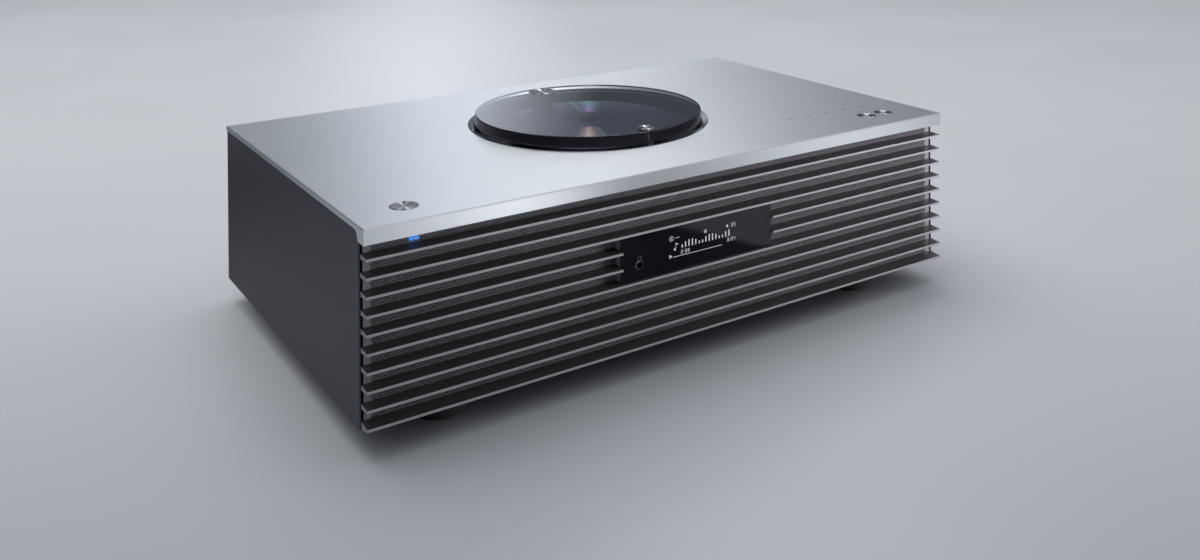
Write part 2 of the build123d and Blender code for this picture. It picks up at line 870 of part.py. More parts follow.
with BuildPart() as guide_rods:
    with BuildSketch(Plane.XZ.offset(-(rod_back + 4))):
        with Locations((-rod_x, rod_z), (rod_x, rod_z)):
            Circle(rod_radius)
    extrude(amount=rod_back - rod_front + 8)
guide_rods.part.label = "guide_rods"
export_step(guide_rods.part, "parts/guide_rods.step")

damper_outline = [
    (screw_radius, damper_bottom),
    (5.5, damper_bottom),
    (5.5, chassis_bottom),
    (3.5, chassis_bottom),
    (3.5, chassis_top),
    (5.5, chassis_top),
    (5.5, chassis_top + 1.5),
    (screw_radius, chassis_top + 1.5),
]
dampers = turned_group([(x, y, 0) for x, y in damper_places], (0, 0, 1), damper_outline)
with BuildPart() as rubber_dampers:
    add(dampers)
rubber_dampers.part.label = "rubber_dampers"
export_step(rubber_dampers.part, "parts/rubber_dampers.step")

# pickup sled: a body on two rods, with a lens tower on top and a rack along its right side
sled_back = -18
sled_front = -46
sled_bottom = 101
sled_top = 110.5
tower_top = 114.5
lens_seat_radius = 4.2
sled_half_width = rod_x + 4
rack_root_x = rack_x - 1.1 * rack_module
rack_tip_x = rack_x + 0.7 * rack_module
rack_length = sled_travel + 10
rack_tooth_pitch = math.pi * rack_module
rack_teeth = int((rack_length - 2) / rack_tooth_pitch)
rack_flank = math.tan(math.radians(20)) * rack_module
rack_half_tooth = rack_tooth_pitch / 4 - 0.08
with BuildPart() as pickup_sled:
    with BuildSketch(Plane.XY.offset(sled_bottom)):
        with Locations((0, (sled_back + sled_front) / 2)):
            Rectangle(2 * sled_half_width, sled_back - sled_front)
    extrude(amount=sled_top - sled_bottom)
    with BuildSketch(Plane.XY.offset(sled_top)):
        with Locations((0, sled_start)):
            Rectangle(15, 13)
    extrude(amount=tower_top - sled_top)
    with BuildSketch(Plane.XY.offset(tower_top)):
        with Locations((0, sled_start)):
            Circle(lens_seat_radius)
    extrude(amount=-3.5, mode=Mode.SUBTRACT)
    with BuildSketch(Plane.XZ.offset(-sled_back)):
        with Locations((-rod_x, rod_z), (rod_x, rod_z)):
            Circle(rod_radius + running_gap)
    extrude(amount=sled_back - sled_front, mode=Mode.SUBTRACT)
    with BuildSketch(Plane.XY.offset(sled_bottom)):
        with Locations(((sled_half_width + rack_root_x) / 2, idler_y + sled_travel / 2)):
            Rectangle(rack_root_x - sled_half_width, rack_length)
    extrude(amount=4)
    tooth_ys = [idler_y + (n - 1.5) * rack_tooth_pitch for n in range(rack_teeth)]
    with BuildSketch(Plane.XY.offset(sled_bottom)):
        for y in tooth_ys:
            with BuildLine():
                Polyline(
                    (rack_root_x, y - rack_half_tooth - 1.1 * rack_flank),
                    (rack_tip_x, y - rack_half_tooth + 0.7 * rack_flank),
                    (rack_tip_x, y + rack_half_tooth - 0.7 * rack_flank),
                    (rack_root_x, y + rack_half_tooth + 1.1 * rack_flank),
                    close=True,
                )
            make_face()
    extrude(amount=4)
pickup_sled.part.label = "pickup_sled"
export_step(pickup_sled.part, "parts/pickup_sled.step")

lens_outline = [
    (0, tower_top - 2.5),
    (3.2, tower_top - 2.5),
    (3.2, tower_top + 2.2),
    (2.2, tower_top + 2.2),
    (1.4, tower_top + 2.6),
    (0, tower_top + 2.8),
]
objective_lens = turned((0, sled_start, 0), (0, 0, 1), lens_outline)
objective_lens.label = "objective_lens"
export_step(objective_lens, "parts/objective_lens.step")

with BuildPart() as idler_gear:
    with BuildSketch(Plane(origin=(idler_x, idler_y, chassis_top + 0.4))):
        with BuildLine():
            Polyline(*gear_outline(idler_large_teeth, gear_module), close=True)
        make_face()
    extrude(amount=1.8)
    with BuildSketch(Plane(origin=(idler_x, idler_y, chassis_top + 2.2))):
        with BuildLine():
            Polyline(*gear_outline(idler_small_teeth, rack_module), close=True)
        make_face()
    extrude(amount=5)
    with BuildSketch(Plane(origin=(idler_x, idler_y, chassis_top + 0.4))):
        Circle(idler_pin_radius + running_gap)
    extrude(amount=6.8, mode=Mode.SUBTRACT)
idler_gear.part.label = "idler_gear"
export_step(idler_gear.part, "parts/idler_gear.step")

pinion_turn = 180 / pinion_teeth
pinion_plane = Plane(origin=(idler_x, pinion_y, chassis_top + 0.4)).rotated((0, 0, pinion_turn))
motor_shaft_radius = 1
with BuildPart() as feed_pinion:
    with BuildSketch(pinion_plane):
        with BuildLine():
            Polyline(*gear_outline(pinion_teeth, gear_module), close=True)
        make_face()
    extrude(amount=3)
    with BuildSketch(Plane(origin=(idler_x, pinion_y, chassis_top + 0.4))):
        Circle(motor_shaft_radius)
    extrude(amount=-(chassis_top + 0.4 - 84))
feed_pinion.part.label = "feed_pinion"
export_step(feed_pinion.part, "parts/feed_pinion.step")

feed_motor_outline = [
    (motor_shaft_radius + running_gap, 83.4),
    (3, 83.4),
    (3, 81),
    (10, 81),
    (10, chassis_bottom),
    (motor_shaft_radius + running_gap, chassis_bottom),
]
feed_motor_bottom = [(0, 79.4), (10, 79.4), (10, 81), (3, 81), (3, 83.4), (0, 83.4)]
motor_body = turned((idler_x, pinion_y, 0), (0, 0, 1), feed_motor_outline)
motor_cap = turned((idler_x, pinion_y, 0), (0, 0, 1), feed_motor_bottom)
with BuildPart() as feed_motor:
    add(motor_body)
    add(motor_cap)
feed_motor.part.label = "feed_motor"
export_step(feed_motor.part, "parts/feed_motor.step")

# ---------------------------------------------------------------- speakers

forward = (0, -1, 0)
with BuildPart() as speaker_boxes:
    add(block(box_inner_x, box_outer_x, box_front, box_back, tray_top, box_top))
    add(
        block(
            box_inner_x + box_wall,
            box_outer_x - box_wall,
            box_front + box_wall,
            box_back - box_wall,
            tray_top + box_wall,
            box_top - box_wall,
        ),
        mode=Mode.SUBTRACT,
    )
    with BuildSketch(Plane.XZ.offset(-box_front)):
        with Locations((woofer_x, woofer_z)):
            Circle(36)
        with Locations((tweeter_x, tweeter_z)):
            Circle(14)
    extrude(amount=-box_wall, mode=Mode.SUBTRACT)
    with BuildSketch(Plane.XZ.offset(-box_back)):
        with Locations((port_x, port_z)):
            Circle(port_outer)
    extrude(amount=box_wall, mode=Mode.SUBTRACT)
    with BuildSketch(Plane.XY.offset(box_top)):
        with Locations((100, -100), (200, -100)):
            Circle(3)
    extrude(amount=board_top - board_thickness - box_top)
    mirror(about=Plane.YZ)
speaker_boxes.part.label = "speaker_boxes"
export_step(speaker_boxes.part, "parts/speaker_boxes.step")

woofer_places = {side: (sign * woofer_x, box_front, woofer_z) for side, sign in sides.items()}
woofer_frame_outline = [
    (0, -38),
    (28, -38),
    (28, -22),
    (36, -22),
    (36, 0),
    (43, 0),
    (43, 3),
    (34.5, 3),
    (34.5, -20),
    (14.5, -20),
    (14.5, -34),
    (11.5, -34),
    (11.5, -20),
    (0, -20),
]
baskets = turned_group(woofer_places.values(), forward, woofer_frame_outline)
with BuildPart() as woofer_frames:
    add(baskets)
woofer_frames.part.label = "woofer_frames"
export_step(woofer_frames.part, "parts/woofer_frames.step")

woofer_cone_outline = [
    (12.6, -30),
    (13.4, -30),
    (13.4, -15),
    (28, -1.2),
    (31, -0.8),
    (31, 0),
    (27.6, -0.2),
    (12.6, -13.6),
    (11, -11),
    (7, -8.8),
    (0, -8),
    (0, -8.8),
    (7, -9.6),
    (10.6, -11.8),
    (12.6, -15),
]
for side, place in woofer_places.items():
    woofer_cone = turned(place, forward, woofer_cone_outline)
    woofer_cone.label = f"woofer_cone_{side}"
    export_step(woofer_cone, f"parts/woofer_cone_{side}.step")

woofer_surround_outline = [
    (28.6, 0),
    (31, 0),
    (31.4, 1.6),
    (32.8, 3.4),
    (34.5, 4.2),
    (36, 3.8),
    (36.6, 3),
    (40, 3),
    (40, 3.8),
    (37.4, 3.8),
    (36.6, 4.6),
    (34.5, 5),
    (32.2, 4.2),
    (30.7, 2.2),
    (30.3, 0.8),
    (28.6, 0.8),
]
surrounds = turned_group(woofer_places.values(), forward, woofer_surround_outline)
with BuildPart() as woofer_surrounds:
    add(surrounds)
woofer_surrounds.part.label = "woofer_surrounds"
export_step(woofer_surrounds.part, "parts/woofer_surrounds.step")

tweeter_outline = [
    (0, -18),
    (14, -18),
    (14, 0),
    (17, 0),
    (17, 2),
    (12, 2),
    (11, 0.6),
    (9, 2.6),
    (6, 4),
    (3, 4.8),
    (0, 5),
]
tweeter_places = [(sign * tweeter_x, box_front, tweeter_z) for sign in sides.values()]
tweeter_pieces = turned_group(tweeter_places, forward, tweeter_outline)
with BuildPart() as tweeters:
    add(tweeter_pieces)
tweeters.part.label = "tweeters"
export_step(tweeters.part, "parts/tweeters.step")

port_start = box_back - box_wall - 40
port_outline = [
    (port_inner, port_start),
    (port_outer, port_start),
    (port_outer, rear_panel_back),
    (port_outer + 2.5, rear_panel_back),
    (port_outer + 2.5, rear_panel_back + 0.8),
    (port_inner + 2, rear_panel_back + 1.6),
    (port_inner, rear_panel_back - 3),
]
port_places = [(sign * port_x, 0, port_z) for sign in sides.values()]
port_pieces = turned_group(port_places, (0, 1, 0), port_outline)
with BuildPart() as bass_ports:
    add(port_pieces)
bass_ports.part.label = "bass_ports"
export_step(bass_ports.part, "parts/bass_ports.step")

sub_leg_places = [(x, y) for x in (-70, 70) for y in (-92, 52)]
with BuildPart() as subwoofer_box:
    add(
        block(
            -sub_box_half_x,
            sub_box_half_x,
            sub_box_front,
            box_back,
            sub_box_bottom,
            sub_box_top,
        )
    )
    add(
        block(
            -sub_box_half_x + box_wall,
            sub_box_half_x - box_wall,
            sub_box_front + box_wall,
            box_back - box_wall,
            sub_box_bottom + box_wall,
            sub_box_top - box_wall,
        ),
        mode=Mode.SUBTRACT,
    )
    with BuildSketch(Plane.XY.offset(sub_box_bottom)):
        with Locations((0, sub_y)):
            Circle(54)
    extrude(amount=box_wall, mode=Mode.SUBTRACT)
    with BuildSketch(Plane.XY.offset(tray_top)):
        with Locations(*sub_leg_places):
            Circle(5)
    extrude(amount=sub_box_bottom - tray_top)
subwoofer_box.part.label = "subwoofer_box"
export_step(subwoofer_box.part, "parts/subwoofer_box.step")

sub_place = (0, sub_y, sub_box_bottom)
downward = (0, 0, -1)
subwoofer_frame_outline = [
    (0, -49),
    (38, -49),
    (38, -30),
    (54, -30),
    (54, 0),
    (62, 0),
    (62, 3),
    (52, 3),
    (52, -28),
    (20, -28),
    (20, -45),
    (16, -45),
    (16, -28),
    (0, -28),
]
subwoofer_frame = turned(sub_place, downward, subwoofer_frame_outline)
subwoofer_frame.label = "subwoofer_frame"
export_step(subwoofer_frame, "parts/subwoofer_frame.step")

subwoofer_cone_outline = [
    (17.6, -40),
    (18.4, -40),
    (18.4, -22),
    (42, -4.2),
    (46, -4.2),
    (46, -3.2),
    (41.6, -3.2),
    (17.6, -20.8),
    (15, -18),
    (8, -15.4),
    (0, -14.6),
    (0, -15.4),
    (8, -16.2),
    (14.6, -18.8),
    (17.6, -22.4),
]
subwoofer_cone = turned(sub_place, downward, subwoofer_cone_outline)
subwoofer_cone.label = "subwoofer_cone"
export_step(subwoofer_cone, "parts/subwoofer_cone.step")

subwoofer_surround_outline = [
    (43.6, -3.2),
    (46, -3.2),
    (46.4, -1.6),
    (47.6, -0.2),
    (49, 0.2),
    (50.4, -0.2),
    (51.4, -1.6),
    (52, -3),
    (52, -1),
    (51, 0.4),
    (49, 1.2),
    (47, 0.6),
    (45.6, -1.2),
    (45.4, -2.4),
    (43.6, -2.4),
]
subwoofer_surround = turned(sub_place, downward, subwoofer_surround_outline)
subwoofer_surround.label = "subwoofer_surround"
export_step(subwoofer_surround, "parts/subwoofer_surround.step")

# ---------------------------------------------------------------- electronics

standoffs = [
    (main_left + 6, boards_front + 6),
    (main_left + 6, boards_back - 8),
    (main_right - 6, boards_front + 6),
    (main_right - 6, boards_back - 8),
    (supply_left + 6, boards_front + 6),
    (supply_left + 6, boards_back - 8),
    (supply_right - 12, boards_front + 6),
    (supply_right - 12, boards_back - 8),
]
with BuildPart() as board_standoffs:
    with BuildSketch(Plane.XY.offset(tray_top)):
        with Locations(*standoffs):
            RegularPolygon(3, 6)
    extrude(amount=board_z - tray_top)
board_standoffs.part.label = "board_standoffs"
export_step(board_standoffs.part, "parts/board_standoffs.step")

board_face = board_z + board_thickness
with BuildPart() as main_board:
    with BuildSketch(Plane.XY.offset(board_z)):
        with Locations(((main_left + main_right) / 2, boards_mid_y)):
            Rectangle(main_right - main_left, boards_back - boards_front)
    extrude(amount=board_thickness)
    with BuildSketch(Plane.XY.offset(board_face)):
        with Locations((-170, 85), (-20, 90)):
            Rectangle(22, 22)
        with Locations((-140, 80), (10, 85), (10, 105)):
            Rectangle(10, 14)
        with Locations((36, 100)):
            Rectangle(8, 26)
    extrude(amount=2.2)
    with BuildSketch(Plane.XY.offset(board_face)):
        with Locations(*[(-150 + 14 * n, 110) for n in range(4)]):
            Circle(5)
        with Locations((-45, 80), (-45, 94)):
            Circle(6)
    extrude(amount=12)
main_board.part.label = "main_board"
export_step(main_board.part, "parts/main_board.step")

with BuildPart() as heat_sink:
    with BuildSketch(Plane.XY.offset(board_face)):
        with Locations((-86, 88)):
            Rectangle(54, 30)
    extrude(amount=5)
    with BuildSketch(Plane.XY.offset(board_face + 5)):
        with Locations((-86, 88)):
            with GridLocations(6, 1, 9, 1):
                Rectangle(1.6, 30)
    extrude(amount=22)
heat_sink.part.label = "heat_sink"
export_step(heat_sink.part, "parts/heat_sink.step")

with BuildPart() as power_supply:
    with BuildSketch(Plane.XY.offset(board_z)):
        with Locations(((supply_left + supply_right) / 2, boards_mid_y)):
            Rectangle(supply_right - supply_left, boards_back - boards_front)
    extrude(amount=board_thickness)
    with BuildSketch(Plane.XY.offset(board_face)):
        with Locations((95, 88)):
            Rectangle(34, 30)
    extrude(amount=24)
    with BuildSketch(Plane.XY.offset(board_face)):
        with Locations((135, 82), (135, 104), (158, 82)):
            Circle(9)
    extrude(amount=28)
    with BuildSketch(Plane.XY.offset(board_face)):
        with Locations((184, 92)):
            Rectangle(6, 40)
        with Locations((92, 116)):
            Rectangle(20, 12)
    extrude(amount=20)
power_supply.part.label = "power_supply"
export_step(power_supply.part, "parts/power_supply.step")

inlet_z = socket_z + 2
with BuildPart() as mains_inlet:
    add(block(inlet_x - 13.5, inlet_x + 13.5, 118, rear_panel_back + 0.6, inlet_z - 10, inlet_z + 10))
    with BuildSketch(Plane.XZ.offset(-(rear_panel_back + 0.6))):
        with Locations((inlet_x, inlet_z)):
            SlotOverall(18, 10)
    extrude(amount=12, mode=Mode.SUBTRACT)
    with BuildSketch(Plane.XZ.offset(-(rear_panel_back - 11.4))):
        with Locations((inlet_x - 4.3, inlet_z), (inlet_x + 4.3, inlet_z)):
            Circle(1.2)
    extrude(amount=-9)
mains_inlet.part.label = "mains_inlet"
export_step(mains_inlet.part, "parts/mains_inlet.step")

socket_front = 116
with BuildPart() as rear_sockets:
    for x, wide, high, hole_wide, hole_high in (
        (lan_x, 16, 14, 12, 8),
        (usb_x, 14, 7, 12, 4.6),
        (optical_x, 11, 11, 7, 6),
    ):
        add(
            block(
                x - wide / 2,
                x + wide / 2,
                socket_front,
                rear_panel_back + 0.4,
                socket_z - high / 2,
                socket_z + high / 2,
            )
        )
        add(
            block(
                x - hole_wide / 2,
                x + hole_wide / 2,
                socket_front + 6,
                rear_panel_back + 0.4,
                socket_z - hole_high / 2,
                socket_z + hole_high / 2,
            ),
            mode=Mode.SUBTRACT,
        )
    add(block(aux_x - 5, aux_x + 5, socket_front, rear_panel_front, socket_z - 5, socket_z + 5))
    with BuildSketch(Plane.XZ.offset(-rear_panel_front)):
        with Locations((aux_x, socket_z)):
            Circle(3.4)
    extrude(amount=-2.6)
    with BuildSketch(Plane.XZ.offset(-(rear_panel_front + 2.6))):
        with Locations((aux_x, socket_z)):
            Circle(aux_bore)
    extrude(amount=14, mode=Mode.SUBTRACT)
rear_sockets.part.label = "rear_sockets"
export_step(rear_sockets.part, "parts/rear_sockets.step")

aerial_face = rear - 0.4
aerial_outline = [
    (0, socket_front),
    (6.5, socket_front),
    (6.5, rear_panel_front),
    (4.75, rear_panel_front),
    (4.75, rear - 0.5),
    (4.4, rear - 0.1),
    (3.4, rear - 0.1),
    (3.4, aerial_face),
    (aerial_bore, aerial_face),
    (aerial_bore, aerial_face - aerial_bore_depth),
    (0, aerial_face - aerial_bore_depth),
]
aerial_socket = turned((aerial_x, 0, socket_z), (0, 1, 0), aerial_outline)
aerial_socket.label = "aerial_socket"
export_step(aerial_socket, "parts/aerial_socket.step")

with BuildPart() as wireless_module:
    with BuildSketch(Plane.XY.offset(board_face + 2.2)):
        with Locations((-176, 86)):
            Rectangle(36, 26)
    extrude(amount=1)
    with BuildSketch(Plane.XY.offset(board_face + 3.2)):
        with Locations((-178, 86)):
            Rectangle(24, 20)
    extrude(amount=2.4)
wireless_module.part.label = "wireless_module"
export_step(wireless_module.part, "parts/wireless_module.step")
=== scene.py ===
import json
import math

import bpy
import numpy as np
from mathutils import Matrix, Vector

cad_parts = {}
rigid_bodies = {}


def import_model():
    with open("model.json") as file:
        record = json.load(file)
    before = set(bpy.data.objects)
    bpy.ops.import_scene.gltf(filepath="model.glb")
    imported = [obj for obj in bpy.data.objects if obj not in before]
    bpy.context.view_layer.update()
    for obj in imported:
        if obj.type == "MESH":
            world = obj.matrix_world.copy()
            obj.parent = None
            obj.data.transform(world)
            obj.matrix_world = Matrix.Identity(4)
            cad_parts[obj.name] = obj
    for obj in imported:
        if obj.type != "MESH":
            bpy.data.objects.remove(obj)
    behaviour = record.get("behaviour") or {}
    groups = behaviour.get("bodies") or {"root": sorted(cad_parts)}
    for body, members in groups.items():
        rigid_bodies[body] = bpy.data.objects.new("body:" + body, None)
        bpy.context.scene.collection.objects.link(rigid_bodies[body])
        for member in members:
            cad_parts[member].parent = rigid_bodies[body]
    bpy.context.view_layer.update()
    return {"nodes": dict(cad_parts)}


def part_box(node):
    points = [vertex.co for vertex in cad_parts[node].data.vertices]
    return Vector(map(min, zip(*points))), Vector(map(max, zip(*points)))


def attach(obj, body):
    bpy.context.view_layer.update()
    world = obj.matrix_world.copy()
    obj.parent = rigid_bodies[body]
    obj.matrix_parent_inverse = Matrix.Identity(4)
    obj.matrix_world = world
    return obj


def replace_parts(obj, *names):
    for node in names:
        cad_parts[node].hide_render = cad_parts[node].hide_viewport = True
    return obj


# Looks of the compact hifi system. The frame is in metres: +X right, +Y back, +Z up.

MM = 0.001

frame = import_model()
nodes = frame["nodes"]
top_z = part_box("top_plate")[1].z


# ---------------------------------------------------------------- building blocks for materials

SOCKET_NAMES = {
    "base": "Base Color",
    "metallic": "Metallic",
    "roughness": "Roughness",
    "normal": "Normal",
    "anisotropic": "Anisotropic",
    "tangent": "Tangent",
    "ior": "IOR",
    "transmission": "Transmission Weight",
    "specular": "Specular IOR Level",
    "coat": "Coat Weight",
    "glow": "Emission Color",
    "glow_strength": "Emission Strength",
}


class Look:
    """A material under construction. Lengths in it are millimetres in the object's own frame."""

    def __init__(self, name):
        self.material = bpy.data.materials.new(name)
        self.material.use_nodes = True
        self.tree = self.material.node_tree
        self.shader = self.tree.nodes["Principled BSDF"]
        self.surface = self.tree.nodes["Material Output"].inputs["Surface"]
        self.volume = self.tree.nodes["Material Output"].inputs["Volume"]
        object_place = self.add("TexCoord").outputs["Object"]
        self.place = self.vector_math("SCALE", object_place, scale=1 / MM)

    def feed(self, socket, value):
        if isinstance(value, bpy.types.NodeSocket):
            self.tree.links.new(value, socket)
        else:
            socket.default_value = value

    def add(self, kind, inputs=(), **settings):
        node = self.tree.nodes.new("ShaderNode" + kind)
        for name, value in settings.items():
            setattr(node, name, value)
        for key, value in dict(inputs).items():
            self.feed(node.inputs[key], value)
        return node

    def shade(self, **values):
        for name, value in values.items():
            self.feed(self.shader.inputs[SOCKET_NAMES[name]], value)

    def math(self, operation, first, second=0.0):
        return self.add("Math", {0: first, 1: second}, operation=operation).outputs[0]

    def vector_math(self, operation, first, second=None, scale=None):
        node = self.add("VectorMath", {0: first}, operation=operation)
        if second is not None:
            self.feed(node.inputs[1], second)
        if scale is not None:
            self.feed(node.inputs["Scale"], scale)
        return node.outputs["Value" if operation in ("DOT_PRODUCT", "LENGTH") else "Vector"]

    def axis(self, vector, letter):
        return self.add("SeparateXYZ", {0: vector}).outputs[letter]

    def noise(self, cycles, detail=2.0, roughness=0.5):
        """Noise with this many cycles per millimetre along X, Y and Z."""
        stretched = self.vector_math("MULTIPLY", self.place, cycles)
        inputs = {"Vector": stretched, "Scale": 1.0, "Detail": detail, "Roughness": roughness}
        return self.add("TexNoise", inputs).outputs["Fac"]

    def levels(self, value, low, high, start=0.3, end=0.7):
        """Goes from low to high while the value goes from start to end."""
        inputs = {"Value": value, 1: start, 2: end, 3: low, 4: high}
        return self.add("MapRange", inputs).outputs[0]

    def blend(self, share, first, second, mode="MIX"):
        node = self.add("Mix", data_type="RGBA", blend_type=mode)
        self.feed(node.inputs[0], share)
        self.feed(node.inputs[6], first)
        self.feed(node.inputs[7], second)
        return node.outputs[2]

    def ramp(self, value, stops):
        node = self.add("ValToRGB", {0: value})
        ramp = node.color_ramp
        while len(ramp.elements) < len(stops):
            ramp.elements.new(1.0)
        for element, (position, colour) in zip(ramp.elements, stops):
            element.position = position
            element.color = colour
        return node.outputs["Color"]

    def bump(self, height, depth):
        """A bump map whose full height is depth millimetres."""
        inputs = {"Height": height, "Distance": depth * MM, "Strength": 1.0}
        return self.add("Bump", inputs).outputs[0]

    def between(self, value, low, high, soft):
        """1 where low < value < high, with soft edges."""
        rise = self.levels(value, 0.0, 1.0, low - soft, low + soft)
        fall = self.levels(value, 1.0, 0.0, high - soft, high + soft)
        return self.math("MULTIPLY", rise, fall)

    def tint(self, colour, amount, cycles, detail=3.0):
        """The colour, made a little lighter and darker by noise."""
        light = tuple(min(1.0, c * (1 + amount)) for c in colour) + (1,)
        dark = tuple(c * (1 - amount) for c in colour) + (1,)
        return self.blend(self.levels(self.noise(cycles, detail), 0.0, 1.0), dark, light)

    def world_tangent(self, vector):
        """A direction in the object's frame as a tangent for brushed or spun metal."""
        turned = self.add(
            "VectorTransform",
            {0: vector},
            vector_type="VECTOR",
            convert_from="OBJECT",
            convert_to="WORLD",
        )
        return self.vector_math("NORMALIZE", turned.outputs[0])

    def away_from(self, centre_x, centre_y):
        """The horizontal direction from a vertical axis, unscaled, in millimetres."""
        flat = self.vector_math("MULTIPLY", self.place, (1, 1, 0))
        return self.vector_math("SUBTRACT", flat, (centre_x, centre_y, 0))


# ---------------------------------------------------------------- materials

# radius of the lid's opening with its polished chamfer, and the radii of the disc, in millimetres
OPENING_RADIUS = 88.6
DISC_RADIUS = 60.0
DATA_START, DATA_END = 23.0, 58.2

# sides that the studio's lights come from over a turned face, each with its power, for the glint painted
# into its colour
PAINTED_GLINT_SIDES = (((0.30, -0.12, 0.0), 1.0), ((-0.34, 0.14, 0.0), 0.55))

# direction along the groove in which the disc shows its thin painted line of colour
PAINTED_LINE_SIDE = (0.30, 0.954, 0.0)


def brushed_top():
    """Aluminium brushed along X, with soft broad streaks. The opening's rim is polished."""
    look = Look("brushed_top")
    fine = look.noise((0.02, 5.0, 5.0), 3.0, 0.7)
    broad = look.noise((0.002, 0.12, 0.12), 2.0)
    streaks = look.math("ADD", look.math("MULTIPLY", fine, 0.75), look.math("MULTIPLY", broad, 0.25))
    from_middle = look.vector_math("LENGTH", look.away_from(0, 0))
    polished = look.levels(from_middle, 1.0, 0.0, OPENING_RADIUS, OPENING_RADIUS + 0.1)
    streak_share = look.levels(streaks, 0.0, 1.0)
    look.shade(
        base=look.blend(streak_share, (0.66, 0.69, 0.715, 1), (0.74, 0.765, 0.785, 1)),
        metallic=1.0,
        roughness=look.blend(polished, look.levels(streaks, 0.30, 0.38), (0.14, 0.14, 0.14, 1)),
        anisotropic=look.levels(polished, 0.80, 0.0, 0.0, 1.0),
        tangent=look.world_tangent((0.0, 1.0, 1.0)),
        normal=look.bump(look.math("MULTIPLY", fine, look.math("SUBTRACT", 1.0, polished)), 0.002),
    )
    return look.material


def satin_panel():
    """Blasted and anodised aluminium, blue-grey with a fine grain."""
    look = Look("satin_panel")
    grain = look.noise((2.2, 2.2, 2.2), 3.0, 0.6)
    look.shade(
        base=look.tint((0.068, 0.072, 0.084), 0.12, (1.6, 1.6, 1.6)),
        metallic=0.8,
        roughness=look.levels(grain, 0.42, 0.54),
        normal=look.bump(grain, 0.02),
    )
    return look.material


def fin_finish():
    """Dark anodised fins whose narrow front edges and ends are left light."""
    look = Look("fin_finish")
    normal = look.add("NewGeometry").outputs["Normal"]
    facing = look.math("ABSOLUTE", look.axis(normal, "X"))
    facing = look.math("MAXIMUM", facing, look.math("MULTIPLY", look.axis(normal, "Y"), -1.0))
    light = look.levels(facing, 0.0, 1.0, 0.80, 0.92)
    grain = look.noise((0.03, 3.0, 3.0), 3.0, 0.6)
    dark_colour = look.tint((0.030, 0.029, 0.032), 0.2, (0.02, 1.5, 1.5))
    light_colour = look.tint((0.29, 0.285, 0.305), 0.08, (0.02, 2.0, 2.0))
    look.shade(
        base=look.blend(light, dark_colour, light_colour),
        metallic=look.levels(light, 0.3, 0.5, 0.0, 1.0),
        roughness=look.levels(grain, 0.38, 0.50),
        normal=look.bump(grain, 0.004),
    )
    return look.material


def sheet_finish():
    """Painted perforated steel."""
    look = Look("sheet_finish")
    grain = look.noise((1.5, 1.5, 1.5), 2.0)
    look.shade(
        base=look.tint((0.215, 0.207, 0.225), 0.10, (0.3, 0.3, 0.3)),
        metallic=0.3,
        roughness=look.levels(grain, 0.42, 0.56),
    )
    return look.material


def towards_viewer(look):
    """The horizontal part of the direction to the viewer."""
    incoming = look.add("NewGeometry").outputs["Incoming"]
    return look.vector_math("MULTIPLY", incoming, (1, 1, 0))


def spun_metal_painted_glint(name, centre):
    """Metal turned on a lathe, with painted glints: its colour turns bright in bow ties across its
    circular grooves, where overhead lights would stretch.
    """
    look = Look(name)
    outward = look.away_from(centre.x / MM, centre.y / MM)
    radius = look.vector_math("LENGTH", outward)
    grooves = look.add("TexNoise", {"Scale": 9.0, "Detail": 2.0, "W": radius}, noise_dimensions="1D")
    grooves = grooves.outputs["Fac"]
    outward_world = look.world_tangent(outward)
    along_groove = look.vector_math("CROSS_PRODUCT", outward_world, (0.0, 0.0, 1.0))
    to_viewer = towards_viewer(look)
    # painted highlight: the colour turns bright where the viewer and a light side meet across the
    # grooves
    painted_glint = 0.0
    for light_side, power in PAINTED_GLINT_SIDES:
        halfway = look.vector_math("NORMALIZE", look.vector_math("ADD", to_viewer, light_side))
        across = look.math("ABSOLUTE", look.vector_math("DOT_PRODUCT", along_groove, halfway))
        painted_glint = look.math("MAXIMUM", painted_glint, look.levels(across, power, 0.0, 0.02, 0.26))
    dull = look.blend(look.levels(grooves, 0.0, 1.0), (0.16, 0.17, 0.18, 1), (0.22, 0.23, 0.245, 1))
    look.shade(
        # the painted glint goes into the base colour
        base=look.blend(painted_glint, dull, (0.95, 0.96, 0.97, 1)),
        metallic=1.0,
        roughness=look.levels(grooves, 0.26, 0.34),
        anisotropic=0.9,
        tangent=outward_world,
        normal=look.bump(grooves, 0.003),
    )
    return look.material


def smoked_acrylic():
    """Thick clear acrylic with a grey-violet tint that deepens with the length of the light's path."""
    look = Look("smoked_acrylic")
    ripple = look.noise((0.03, 0.03, 0.03), 1.0)
    look.shade(
        base=(0.93, 0.93, 0.97, 1),
        roughness=look.levels(ripple, 0.0, 0.02),
        ior=1.49,
        transmission=1.0,
    )
    tint = look.add("VolumeAbsorption", {"Color": (0.36, 0.38, 0.52, 1), "Density": 58.0})
    look.feed(look.volume, tint.outputs[0])
    return look.material


def gloss_black():
    """The display's glossy black window."""
    look = Look("gloss_black")
    smear = look.noise((0.02, 0.02, 0.05), 2.0)
    look.shade(
        base=look.tint((0.006, 0.0065, 0.008), 0.3, (0.02, 0.02, 0.02)),
        roughness=look.levels(smear, 0.03, 0.07),
        specular=0.5,
        coat=0.3,
    )
    return look.material


def moulded(name, colour):
    """Moulded plastic with a fine spark-eroded texture."""
    look = Look(name)
    grain = look.noise((1.8, 1.8, 1.8), 3.0, 0.6)
    look.shade(
        base=look.tint(colour, 0.12, (0.05, 0.05, 0.05)),
        roughness=look.levels(grain, 0.42, 0.58),
        normal=look.bump(grain, 0.03),
    )
    return look.material


def metal(name, colour, low, high):
    """Plain metal whose roughness goes from low to high with fine wear."""
    look = Look(name)
    wear = look.noise((0.6, 0.6, 0.6), 4.0, 0.6)
    look.shade(
        base=look.tint(colour, 0.08, (0.6, 0.6, 0.6)),
        metallic=1.0,
        roughness=look.levels(wear, low, high),
        normal=look.bump(wear, 0.004),
    )
    return look.material


